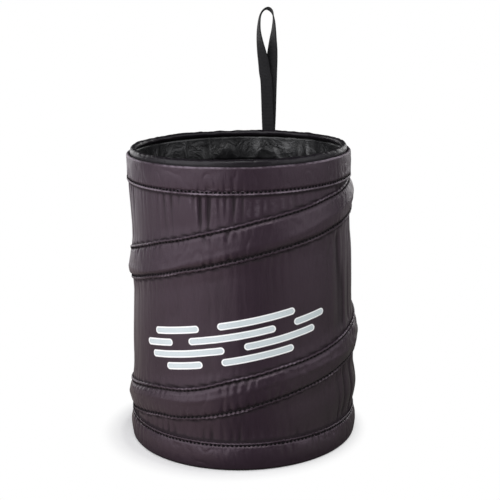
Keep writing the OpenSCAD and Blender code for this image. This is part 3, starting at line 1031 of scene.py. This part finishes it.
def band_edge(z, edge, inwards, pucker):
    """Groove of a band's seam, lip of its stitched edge and puckers at its stitches. inwards is 1 or -1."""
    seam = edge + inwards * SEAM_MARGIN
    groove = -0.60 * MM * bump_at(z, seam, 1.2 * MM)
    lip = 0.36 * MM * bump_at(z, edge + inwards * 0.8 * MM, 0.9 * MM)
    return groove + lip - 0.30 * MM * (0.5 + 0.5 * pucker) * fading(z - seam, 2.0 * MM, 1)


def edge_shading(z, edge, inwards, painted_highlight):
    """Painted shading of a band at its stitched edge: painted shade in the seam and under the edge, painted
    highlight on the lip.
    """
    return (painted_highlight * bump_at(z, edge + inwards * 0.9 * MM, 0.9 * MM)
            - 0.3 * bump_at(z, edge + inwards * SEAM_MARGIN, 0.9 * MM)
            - 0.9 * bump_at(z, edge - inwards * 0.1 * MM, 0.6 * MM))


def shaded_tucks(painted_shading, tuck, outside):
    """Paints shade into the tucks, except where painted highlight lies."""
    return painted_shading - 0.45 * np.minimum(tuck, 1) * outside * (painted_shading < 0.1)


def make_top_band():
    s = sizes()
    outer = s.mouth_radius
    inner = outer - TOP_BAND_DEPTH
    fold_r = TOP_BAND_DEPTH / 2
    fold_c = (outer - fold_r, s.fold_height - fold_r)
    cloth = s.hem_cloth
    low = s.band_bottom
    leg = low + 1.0 * MM
    profile = (line((outer - EDGE_BACK, low), (outer, low + EDGE_ROUND), 3)
               + line((outer, low + EDGE_ROUND), (outer, fold_c[1]), 30)
               + arc(*fold_c, fold_r, 0, 180, 13)
               + line((inner, fold_c[1]), (inner, leg + 0.2 * MM), 10)[1:]
               + line((inner, leg), (inner + cloth, leg), 2)
               + line((inner + cloth, leg), (inner + cloth, fold_c[1]), 10)
               + arc(*fold_c, fold_r - cloth, 180, 0, 7)
               + line((outer - cloth, fold_c[1]), (outer - cloth, low), 30)[1:])
    mesh = mesh_of(hooped(profile, 720, closed=True), "top_band_cloth")
    a, r, z = polar(taken(mesh))
    turn = a / TAU
    outside = smooth((r - (outer - 1.6 * MM)) / (0.7 * MM))
    seam_z = low + SEAM_MARGIN
    pucker = np.cos(a * stitch_count(outer))
    tuck = gather_valley(a, 0 * a) * gathered(a) * fading(np.maximum(z - seam_z, 0), 5 * MM, 1.5)
    slack = band_shape(a, z, low, s.fold_height, 51) * smooth((s.fold_height - z) / (5 * MM)) * 0.8
    belly = 0.15 * MM * arch((z - seam_z) / (s.fold_height - seam_z), 0.8)
    d = slack * smooth((z - low) / (2 * MM)) + belly + band_edge(z, low, 1, pucker)
    d = d - 0.55 * MM * tuck + 0.12 * MM * drift(turn, 9, 57)
    ripple = 0.18 * MM * drift(turn, 48, 58) * bump_at(z, s.fold_height, 6 * MM)
    given(mesh, from_polar(a, r + d * outside, z + ripple + 0.12 * MM * pucker * bump_at(z, low, 1.2 * MM)))
    # Painted highlight along the folded top edge, and painted shading at the stitched lower edge and in the
    # tucks
    painted_shading = (bump_at(z, s.fold_height - 0.2 * MM, 1.3 * MM) + edge_shading(z, low, 1, 1.0)) * outside
    place = from_polar(a, r + 20 * MM, z + 50 * MM)
    mark(mesh, wall_along(a), z + (outer - r), place, shaded_tucks(painted_shading, tuck, outside), wrap=CLOTH_ROUND)
    band = piece("top_band_cloth", mesh, "hem_satin", "rim")
    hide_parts("top_band")


def make_base_band():
    s = sizes()
    outer = s.foot_radius
    inner = outer - BASE_BAND_DEPTH
    fold_r = BASE_BAND_DEPTH / 2
    fold_c = (outer - fold_r, fold_r)
    cloth = s.hem_cloth
    high = s.base_band_height
    leg = high - 0.3 * MM
    profile = (line((outer, fold_c[1]), (outer, high - EDGE_ROUND), 34)
               + line((outer, high - EDGE_ROUND), (outer - EDGE_BACK, high), 3)
               + line((outer - cloth, high), (outer - cloth, fold_c[1]), 34)
               + arc(*fold_c, fold_r - cloth, 0, -180, 9)
               + line((inner + cloth, fold_c[1]), (inner + cloth, leg), 10)[1:]
               + line((inner + cloth, leg), (inner, leg), 2)
               + line((inner, leg), (inner, fold_c[1]), 10)
               + arc(*fold_c, fold_r, -180, 0, 15)[:-1])
    mesh = mesh_of(hooped(profile, 720, closed=True), "base_band_cloth")
    a, r, z = polar(taken(mesh))
    turn = a / TAU
    share = z / high
    outside = smooth((r - (outer - 2.6 * MM)) / (1.2 * MM))
    seam_z = high - SEAM_MARGIN
    down = seam_z - z
    pucker = np.cos(a * stitch_count(outer))
    tuck = gather_valley(a, 0 * a, 27) * foot_gathered(a) * fading(np.maximum(down, 0), 7 * MM, 1.5)
    slack = band_shape(a, z, 0, high, 61) * smooth(z / (4 * MM)) * smooth((high - z) / (2 * MM)) * 0.9
    belly = s.base_puff * arch(z / seam_z, 0.75) * (0.85 + 0.15 * drift(turn, 21, 66))
    swags = 0.4 * MM * drift(turn, 44, 68) * arch(z / seam_z)
    fans = creases(turn + 0.012 * share, share, 150, 2, 67, 0.4) * fading(down, 5 * MM, 1) * smooth(down / MM)
    d = slack + belly + swags + band_edge(z, high, -1, pucker) - 0.6 * MM * tuck - 0.28 * MM * fans
    given(mesh, from_polar(a, r + d * outside, z + 0.12 * MM * pucker * bump_at(z, high, 1.2 * MM)))
    # Painted shade along the bottom edge where the band meets the floor, and painted shading at the stitched
    # edge and in the tucks
    painted_shading = (edge_shading(z, high, -1, 0.8) - 0.95 * (1 - smooth((z - 1.0 * MM) / (1.8 * MM)))) * outside
    across = z - (outer - r) - 60 * MM
    place = from_polar(a, r + 30 * MM, z - 50 * MM)
    mark(mesh, wall_along(a), across, place, shaded_tucks(painted_shading, tuck, outside), wrap=CLOTH_ROUND)
    band = piece("base_band_cloth", mesh, "hem_satin", "base")
    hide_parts("base_band")


def make_rim_roll():
    s = sizes()
    tail_r = s.mouth_radius - TOP_BAND_DEPTH - s.clearance
    tail_in = tail_r - s.hem_cloth
    roll_r = 2.15 * MM
    centre = (tail_r - roll_r, s.fold_height + 4.1 * MM - roll_r)
    low = s.band_bottom + 2 * MM
    profile = (line((tail_r, low), (tail_r, centre[1]), 14)
               + arc(*centre, roll_r, 0, 270, 30)
               + line((centre[0], centre[1] - roll_r), (tail_in - 0.1 * MM, centre[1] - roll_r), 3)[1:]
               + line((tail_in, centre[1] - roll_r), (tail_in, low), 12))
    mesh = mesh_of(hooped(profile, 640, closed=True), "rim_roll_cloth")
    a, r, z = polar(taken(mesh))
    turn = a / TAU
    around = np.arctan2(z - centre[1], r - centre[0]) / TAU
    twist = (relief(turn + 0.012 * around, around + 0.5, 95, 3, 71) * 0.26
             - creases(turn + 0.02 * around, around + 0.5, 120, 3, 72, 0.4) * 0.30)
    on_roll = smooth((z - (centre[1] - 0.5 * roll_r)) / (0.8 * roll_r))
    dr, dz = (r - centre[0]) / roll_r, (z - centre[1]) / roll_r
    d = twist * MM * on_roll
    sway = 0.25 * MM * drift(turn, 17, 73) * on_roll
    given(mesh, from_polar(a, r + d * dr * 0.7 - np.abs(sway), z + d * dz + sway * 0.6))
    # Painted shade on the lower half of the roll and down its tail
    painted_shading = -0.5 * (1 - smooth((z - (centre[1] - 1.2 * MM)) / (1.4 * MM)))
    mark(mesh, wall_along(a), around * TAU * roll_r, from_polar(a, r, z + 90 * MM), painted_shading, wrap=CLOTH_ROUND)
    roll = piece("rim_roll_cloth", mesh, "roll_satin", "rim")
    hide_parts("rim_roll")


# The lining and the floor

def lining_radius(z):
    """Inner face of the lining before it is creased."""
    s = sizes()
    top = s.mouth_radius - 3.5 * MM
    foot = s.foot_radius - 2.5 * MM
    return top - s.cloth + (foot - top) * (1 - np.clip(wall_share(z), 0, 1))


def lining_shape(a, z):
    """Creases of the loose lining, always inwards."""
    s = sizes()
    turn = a / TAU
    share = z / s.fold_height
    held = smooth((s.fold_height - 1 * MM - z) / (14 * MM)) * 0.85 + 0.15
    foot = smooth((z - s.base_band_height + 1 * MM) / (16 * MM))
    swell = (relief(turn, share, 9, 4, 81) * 0.5 + 0.5) * 2.4
    folds = creases(turn + 0.06 * share, share, 24, 4, 82, 0.5) * 1.5
    fans = creases(turn - 0.05 * share, share, 46, 6, 83, 0.45) * 0.9
    small = (relief(turn + 0.03 * share, share, 110, 24, 84) * 0.5 + 0.5) * 0.45
    return -(swell + folds + fans + small) * MM * held * foot


def make_lining():
    s = sizes()
    low = DISC_HIGH.z + 1.6 * MM
    top = s.fold_height - 0.6 * MM
    pieces = []
    for name, body, start, end, rows in (("lining_wall_cloth", "base", low, s.band_bottom, 96),
                                         ("lining_top_cloth", "rim", s.band_bottom, top, 10)):
        bm = tube(78 * MM, start, end, rows, 460)
        bmesh.ops.reverse_faces(bm, faces=bm.faces[:])
        mesh = mesh_of(bm, name)
        a, _, z = polar(taken(mesh))
        given(mesh, from_polar(a, lining_radius(z) + lining_shape(a, z), z))
        mark(mesh, wall_along(a), z, from_polar(a, 70 * MM, z), 0.0, wrap=CLOTH_ROUND)
        reworked(mesh, lambda bm: thicken(bm, THIN_CLOTH))
        pieces.append(piece(name, mesh, "coated_lining", body))
    wall, hem = pieces
    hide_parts("lining_wall")
    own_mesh(wall)


def disc(name, radius, height, up, seed, finish, node, depth):
    """A sewn round of cloth, softly rippled, with fans near its edge."""
    bm = bmesh.new()
    bmesh.ops.create_circle(bm, cap_ends=True, segments=160, radius=radius)
    rings = 26
    for _ in range(rings):
        middle = max(bm.faces, key=lambda f: len(f.verts))
        bmesh.ops.inset_region(bm, faces=[middle], thickness=radius / (rings + 2.5), use_even_offset=True,
                               use_boundary=True)
    bmesh.ops.poke(bm, faces=[max(bm.faces, key=lambda f: len(f.verts))])
    mesh = mesh_of(bm, name)
    co = taken(mesh)
    a, r, _ = polar(co)
    turn, share = (co[:, 0] / radius + 2) / 4, (co[:, 1] / radius + 1) / 2
    waves = relief(turn, share, 10, 5, seed) * 0.5 + relief(turn, share, 22, 11, seed + 1) * 0.25 + 0.75
    fold = creases(turn + 0.1 * share, share, 12, 6, seed + 2, 0.4) * 0.7
    lift = (waves + fold) * depth * smooth((radius - r) / (9 * MM))
    fans = ripples(a * 52 + 3 * relief(a / TAU, r / radius, 30, 3, seed + 3))
    co[:, 2] = height + lift + fans * bump_at(r, radius - 6 * MM, 6 * MM) * depth * 0.7
    given(mesh, co)
    mark(mesh, co[:, 0], co[:, 1], co, 0.0)

    def turn_and_thicken(bm):
        bmesh.ops.recalc_face_normals(bm, faces=bm.faces[:])
        if (sum(f.normal.z for f in bm.faces) < 0) != up:
            bmesh.ops.reverse_faces(bm, faces=bm.faces[:])
        thicken(bm, DISC_CLOTH)

    reworked(mesh, turn_and_thicken)
    made = piece(name, mesh, finish, "base")
    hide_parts(node)


def make_floor_discs():
    disc("lining_floor_cloth", DISC_HIGH.x + 0.4 * MM, DISC_LOW.z + 0.05 * MM, True, 91,
         "coated_lining", "lining_floor", 0.9 * MM)
    disc("base_panel_cloth", PANEL_HIGH.x, 0.55 * MM, False, 95,
         "hem_satin", "base_panel", 0.12 * MM)


# The hanging loop

LOOP_TURN = math.radians(73.0)
# How far the loop's top stands over the mouth, and one rib of its webbing, in millimetres
LOOP_RISE = 94.0
RIB_PITCH = 1.05
# Sets the two faces of the webbing apart on its cloth map
WEB_SIDE = 20 * MM
# Right, back and below the loop's top in millimetres, and the webbing's turn in degrees
LOOP_ROUTE = [
    (0, 0, 108.5, 0), (0, 0, 96, 0), (-0.4, 0, 80, 0), (-1, 0.1, 55, 0), (-2.2, 0.3, 47, 6),
    (-3.2, 0.4, 39, 16), (-4.6, 0.6, 31.5, 30), (-5.9, 0.8, 24, 45), (-6.6, 0.9, 16, 59),
    (-6.0, 1, 8.2, 68), (-4.8, 1, 4, 73), (-2.8, 1, 1.3, 77), (0, 1, 0, 82), (2.6, 1, 1.3, 90),
    (4.3, 1, 4.2, 102), (5.0, 1.1, 9, 112), (4.8, 1.3, 16, 124), (4.1, 1.7, 23, 139),
    (3.5, 2, 31, 156), (2.7, 2, 41, 172), (2, 1.7, 55, 180), (1, 1.5, 80, 180),
    (0, 1.5, 96, 180), (0, 1.5, 108.5, 180)]


def loop_line(share):
    """Right, back, below and turn at shares of the route, the way it runs there, and its length."""
    points = np.array(LOOP_ROUTE, float)
    fine = np.linspace(0, len(points) - 1, 1600)
    i = np.clip(np.floor(fine).astype(int), 0, len(points) - 2)
    f = (fine - i)[:, None]
    p0, p1 = points[np.maximum(i - 1, 0)], points[i]
    p2, p3 = points[i + 1], points[np.minimum(i + 2, len(points) - 1)]
    curve = 0.5 * (2 * p1 + (p2 - p0) * f + (2 * p0 - 5 * p1 + 4 * p2 - p3) * f ** 2
                   + (3 * p1 - p0 - 3 * p2 + p3) * f ** 3)
    run = np.concatenate([[0], np.cumsum(np.linalg.norm(np.diff(curve[:, :3], axis=0), axis=1))])
    length = run[-1]

    def at(distance):
        return np.stack([np.interp(distance, run, column) for column in curve.T], -1)

    way = at(share * length + 0.4) - at(share * length - 0.4)
    return at(share * length), units(way[:, :3]), length


def loop_frame(share):
    """Place, width direction and face direction of the webbing in the bin's frame, and its length."""
    s = sizes()
    point, way, length = loop_line(share)
    turn = np.radians(point[:, 3])
    run = units(np.stack([way[:, 0], -way[:, 2]], -1))
    zero = np.zeros_like(turn)
    wide = np.stack([run[:, 1] * np.cos(turn), -np.sin(turn), -run[:, 0] * np.cos(turn)], -1)
    face = np.cross(np.stack([run[:, 0], zero, run[:, 1]], -1), wide)
    half = s.webbing_thickness / 2
    back = (s.mouth_radius + s.clearance + half) / MM
    top = (s.fold_height - half) / MM + LOOP_RISE
    place = np.stack([point[:, 0], point[:, 1] + back, top - point[:, 2]], -1) * MM
    c, n = math.cos(LOOP_TURN - math.pi / 2), math.sin(LOOP_TURN - math.pi / 2)
    turned = np.array([[c, n, 0], [-n, c, 0], [0, 0, 1]])
    return place @ turned, wide @ turned, face @ turned, length * MM


def make_hanging_loop():
    s = sizes()
    _, _, length = loop_line(np.array([0.0]))
    ribs = int(length / RIB_PITCH)
    mesh = mesh_of(field(ribs * 4, 28), "hanging_loop_webbing")
    co = taken(mesh)
    share = (co[:, 0] + 1) / 2
    place, wide, face, total = loop_frame(share)
    t = (co[:, 1] + 1) / 2 * TAU
    half_width, half_thick = s.webbing_width / 2, s.webbing_thickness / 2
    square = 0.32
    x = np.sign(np.cos(t)) * np.abs(np.cos(t)) ** square
    y = np.sign(np.sin(t)) * np.abs(np.sin(t)) ** square
    rib = np.cos(share * ribs * TAU)
    edge = smooth((np.abs(x) - 0.86) / 0.1)
    thick = half_thick * (0.86 + 0.14 * rib * (1 - edge) + edge * 0.05)
    wide_by = half_width * (1.0 + 0.012 * np.cos(share * ribs * TAU + 1.5))
    given(mesh, place + wide * (x * wide_by)[:, None] + face * (y * thick)[:, None])
    mark(mesh, share * total, x * half_width + np.sign(y) * WEB_SIDE, place, 0.0)
    reworked(mesh, close_tube)
    loop = piece("hanging_loop_webbing", mesh, "ribbed_webbing", "rim")
    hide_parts("hanging_loop")


# Threads

def stitch_piece(name, place, along, up, body, length=1.95 * MM, width=1.35 * MM, height=0.66 * MM):
    """One mesh of many stitches: each lies at a place, runs along a direction and bulges up."""
    one = bmesh.new()
    bmesh.ops.create_uvsphere(one, u_segments=6, v_segments=4, radius=0.5)
    bmesh.ops.rotate(one, verts=one.verts[:], cent=(0, 0, 0), matrix=Matrix.Rotation(math.pi / 2, 3, "Y"))
    single = mesh_of(one, name + "_one")
    shape = taken(single) * np.array([length, width, height])
    shape[:, 2] -= 0.35 * height * (2 * shape[:, 0] / length) ** 2
    many = bmesh.new()
    for _ in range(len(place)):
        many.from_mesh(single)
    mesh = mesh_of(many, name)
    bpy.data.meshes.remove(single)
    along = units(along)
    side = units(np.cross(up, along))
    co = place[:, None, :]
    for k, way in enumerate((along, side, np.cross(along, side))):
        co = co + shape[None, :, k:k + 1] * way[:, None, :]
    given(mesh, co.reshape(-1, 3))
    return piece(name, mesh, "twisted_thread", body)


def stitch_count(radius):
    """Stitches in one ring."""
    return int(TAU * radius / sizes().stitch_pitch)


def ring_of_stitches(name, radius, height, body, out):
    n = stitch_count(radius)
    jitter = np.random.default_rng(n).uniform(-1, 1, (2, n))
    a = np.arange(n) * TAU / n + jitter[0] * 0.0012
    place = from_polar(a, radius, height + jitter[1] * 0.10 * MM)
    along = np.stack([-np.sin(a), np.cos(a), jitter[1] * 0.05], -1)
    return stitch_piece(name, place, along, from_polar(a, out, np.zeros(n)), body)


def make_casing_stitches():
    s = sizes()
    n = casing_stitches()
    a = np.linspace(CASING_START, CASING_END, n)
    places, ways = [], []
    for side in (1, -1):
        t = np.full(n, side * (1.0 - 0.8 * FLANGE))
        (r, z, _), (r2, z2, _) = casing_place(a, t), casing_place(a + 0.4, t)
        shown = (z < s.band_bottom - 1.5 * MM) & (z > s.base_band_height + 1.5 * MM)
        here = from_polar(np.radians(a), r + 0.34 * MM, z)
        there = from_polar(np.radians(a + 0.4), r2 + 0.34 * MM, z2)
        places.append(here[shown])
        ways.append((there - here)[shown])
    place, way = np.concatenate(places), np.concatenate(ways)
    up = units(place * np.array([1, 1, 0]))
    threads = stitch_piece("casing_stitches", place, way, up, "base", width=1.6 * MM, height=0.8 * MM)
    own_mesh(threads)


def make_band_stitches():
    """Rings of stitches by name, radius, height and body, with 1 where they face outwards and -1 inwards."""
    s = sizes()
    top_seam = s.band_bottom + SEAM_MARGIN
    base_seam = s.base_band_height - SEAM_MARGIN
    for ring in (
            ("top_band_stitches", s.mouth_radius - 0.12 * MM, top_seam, "rim", 1.0),
            ("base_band_stitches", s.foot_radius - 0.10 * MM, base_seam, "base", 1.0),
            ("base_inner_stitches", s.foot_radius - BASE_BAND_DEPTH, base_seam, "base", -1.0),
            ("lining_stitches", s.mouth_radius - 4.25 * MM, s.fold_height - 7 * MM, "rim", -1.0)):
        ring_of_stitches(*ring)


def make_loop_stitches():
    """A sewn box with a cross on the loop's legs, where they lie on the band."""
    s = sizes()
    marks = []
    w, h = 3.1, 6.0
    corners = [(-w, -h), (w, -h), (w, h), (-w, h), (-w, -h), (w, h), (w, -h), (-w, h)]
    for p, q in zip(corners, corners[1:]):
        span = math.dist(p, q)
        dx, dy = q[0] - p[0], q[1] - p[1]
        n = max(2, round(span / 2.1))
        for k in range(n):
            f = (k + 0.5) / n
            marks.append((p[0] + dx * f, p[1] + dy * f, dx / span, dy / span))
    marks = np.array(marks) * np.array([MM, MM, 1, 1])
    out = np.array([math.cos(LOOP_TURN), math.sin(LOOP_TURN), 0])
    east = np.array([-math.sin(LOOP_TURN), math.cos(LOOP_TURN), 0])
    top = np.array([0, 0, 1.0])
    middle = out * (s.mouth_radius + 3.05 * MM) + top * (s.band_bottom + 10.4 * MM)
    place = middle + marks[:, :1] * east + marks[:, 1:2] * top
    along = marks[:, 2:3] * east + marks[:, 3:4] * top
    stitch_piece("loop_stitches", place, along, np.broadcast_to(out, place.shape), "rim",
                 length=1.6 * MM, width=0.45 * MM, height=0.4 * MM)


# The stage

CAMERA_PLACE = (0.0, -0.7736, 0.3182)
CAMERA_DOWN = math.radians(13.52)
CAMERA_YAW = math.radians(0.51)
CAMERA_ROLL = math.radians(-0.96)
CAMERA_LENS = 80.94
COOL = (0.97, 0.97, 1.0)
WHITE = (1.0, 1.0, 1.0)
# Name, place, height of the point on the bin's axis that it faces, width and height, power and colour
LAMPS = [
    ("key_lamp", (-1.12, -0.84, 0.75), 0.2, (2.3, 1.45), 27, COOL),
    ("fill_lamp", (1.40, -0.56, 0.75), 0.2, (1.8, 1.4), 13, COOL),
    ("front_lamp", (0.05, -1.05, 1.30), 0.10, (0.8, 0.5), 9.5, WHITE),
    ("left_edge_lamp", (-1.0, 1.3, 0.45), 0.15, (0.8, 0.9), 6, WHITE),
    ("right_edge_lamp", (1.0, 1.3, 0.45), 0.15, (0.8, 0.9), 5, WHITE)]


def make_camera():
    data = bpy.data.cameras.new("camera")
    data.lens = CAMERA_LENS
    data.sensor_width = 36.0
    camera = placed("camera", data)
    ahead = np.array([math.sin(CAMERA_YAW) * math.cos(CAMERA_DOWN),
                      math.cos(CAMERA_YAW) * math.cos(CAMERA_DOWN), -math.sin(CAMERA_DOWN)])
    right = np.array([math.cos(CAMERA_YAW), -math.sin(CAMERA_YAW), 0.0])
    up = np.cross(right, ahead)
    c, n = math.cos(CAMERA_ROLL), math.sin(CAMERA_ROLL)
    right, up = c * right + n * up, c * up - n * right
    turned = Matrix(np.stack([right, up, -ahead], -1).tolist()).to_4x4()
    camera.matrix_world = Matrix.Translation(CAMERA_PLACE) @ turned
    bpy.context.scene.camera = camera


def make_lamp(name, place, aim, size, power, colour):
    data = bpy.data.lights.new(name, "AREA")
    data.shape = "RECTANGLE"
    data.size, data.size_y = size
    data.energy = power
    data.color = colour
    lamp = placed(name, data)
    lamp.location = place
    lamp.rotation_euler = (lamp.location - Vector((0, 0, aim))).to_track_quat("Z", "Y").to_euler()


def make_world():
    """White where the camera sees it, and dim for what it lights."""
    world = bpy.data.worlds.new("studio_world")
    bpy.context.scene.world = world
    nodes = Nodes(world)
    seen = nodes.node("ShaderNodeLightPath").outputs["Is Camera Ray"]
    level = nodes.value("ShaderNodeMapRange", None, {0: seen, 3: 0.06, 4: 1.0})
    sky = nodes.node("ShaderNodeBackground", None, {"Color": rgba(WHITE), "Strength": level})
    nodes.node("ShaderNodeOutputWorld", None, {0: sky.outputs[0]})


def make_stage():
    make_camera()
    bm = bmesh.new()
    bmesh.ops.create_circle(bm, cap_ends=True, segments=96, radius=6.0)
    floor = placed("studio_floor", mesh_of(bm, "studio_floor"))
    floor.data.materials.append(finish_of("studio_floor"))
    for lamp in LAMPS:
        make_lamp(*lamp)
    make_world()
    bpy.context.scene.view_settings.view_transform = "Standard"


HARDWARE = {
    "top_ring_wire": "drawn_steel", "base_ring_wire": "drawn_steel",
    "top_ring_sleeve": "pressed_sleeve", "base_ring_sleeve": "pressed_sleeve",
    "upper_wire_tip": "moulded_cap", "lower_wire_tip": "moulded_cap"}


def dress_hardware():
    """Gives the carried-over wires, sleeves and caps their metal and plastic."""
    for node, finish in HARDWARE.items():
        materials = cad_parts[node].data.materials
        materials.clear()
        materials.append(finish_of(finish))


# Operators

class BIN_OT_stage(bpy.types.Operator):
    """Adds the floor, lamps and camera"""
    bl_idname = "bin.stage"
    bl_label = "Stage"

    def execute(self, context):
        make_stage()
        return {"FINISHED"}


class BIN_OT_outer_wall(bpy.types.Operator):
    """Makes the gathered and printed wall"""
    bl_idname = "bin.outer_wall"
    bl_label = "Outer wall"

    def execute(self, context):
        make_outer_wall()
        return {"FINISHED"}


class BIN_OT_spiral_casing(bpy.types.Operator):
    """Makes the casing and the spring wire in it"""
    bl_idname = "bin.spiral_casing"
    bl_label = "Spiral casing"

    def execute(self, context):
        make_spiral_casing()
        make_spiral_spring()
        return {"FINISHED"}


class BIN_OT_top_band(bpy.types.Operator):
    """Makes the folded hem at the mouth"""
    bl_idname = "bin.top_band"
    bl_label = "Top band"

    def execute(self, context):
        make_top_band()
        return {"FINISHED"}


class BIN_OT_rim_roll(bpy.types.Operator):
    """Makes the rolled edge inside the mouth"""
    bl_idname = "bin.rim_roll"
    bl_label = "Rim roll"

    def execute(self, context):
        make_rim_roll()
        return {"FINISHED"}


class BIN_OT_base_band(bpy.types.Operator):
    """Makes the folded hem at the foot"""
    bl_idname = "bin.base_band"
    bl_label = "Base band"

    def execute(self, context):
        make_base_band()
        return {"FINISHED"}


class BIN_OT_lining(bpy.types.Operator):
    """Makes the creased lining, its floor and the base panel"""
    bl_idname = "bin.lining"
    bl_label = "Lining"

    def execute(self, context):
        make_lining()
        make_floor_discs()
        return {"FINISHED"}


class BIN_OT_hanging_loop(bpy.types.Operator):
    """Makes the ribbed webbing loop"""
    bl_idname = "bin.hanging_loop"
    bl_label = "Hanging loop"

    def execute(self, context):
        make_hanging_loop()
        return {"FINISHED"}


class BIN_OT_stitches(bpy.types.Operator):
    """Sews the seams"""
    bl_idname = "bin.stitches"
    bl_label = "Stitches"

    def execute(self, context):
        make_casing_stitches()
        make_band_stitches()
        make_loop_stitches()
        return {"FINISHED"}


class BIN_OT_hardware(bpy.types.Operator):
    """Finishes the wires, sleeves and caps"""
    bl_idname = "bin.hardware"
    bl_label = "Hardware"

    def execute(self, context):
        dress_hardware()
        return {"FINISHED"}


# In the order in which they run
OPERATORS = [
    BIN_OT_stage, BIN_OT_outer_wall, BIN_OT_spiral_casing, BIN_OT_top_band,
    BIN_OT_rim_roll, BIN_OT_base_band, BIN_OT_lining,
    BIN_OT_hanging_loop, BIN_OT_stitches, BIN_OT_hardware]


class BIN_PT_panel(bpy.types.Panel):
    bl_label = "Pop-up bin"
    bl_idname = "BIN_PT_panel"
    bl_space_type = "VIEW_3D"
    bl_region_type = "UI"
    bl_category = "Bin"

    def draw(self, context):
        for made in OPERATORS:
            self.layout.operator(made.bl_idname)
        for group in (context.scene.bin_sizes, context.scene.bin_colours):
            for key in group.bl_rna.properties.keys():
                if key not in ("rna_type", "name"):
                    self.layout.prop(group, key)


CLASSES = [BinSizes, BinColours, *OPERATORS, BIN_PT_panel]


def register():
    for made in CLASSES:
        bpy.utils.register_class(made)
    bpy.types.Scene.bin_sizes = PointerProperty(type=BinSizes)
    bpy.types.Scene.bin_colours = PointerProperty(type=BinColours)


def unregister():
    del bpy.types.Scene.bin_colours
    del bpy.types.Scene.bin_sizes
    for made in reversed(CLASSES):
        bpy.utils.unregister_class(made)


def main():
    register()
    for made in OPERATORS:
        getattr(bpy.ops.bin, made.bl_idname.split(".")[1])()


if __name__ == "__main__":
    main()
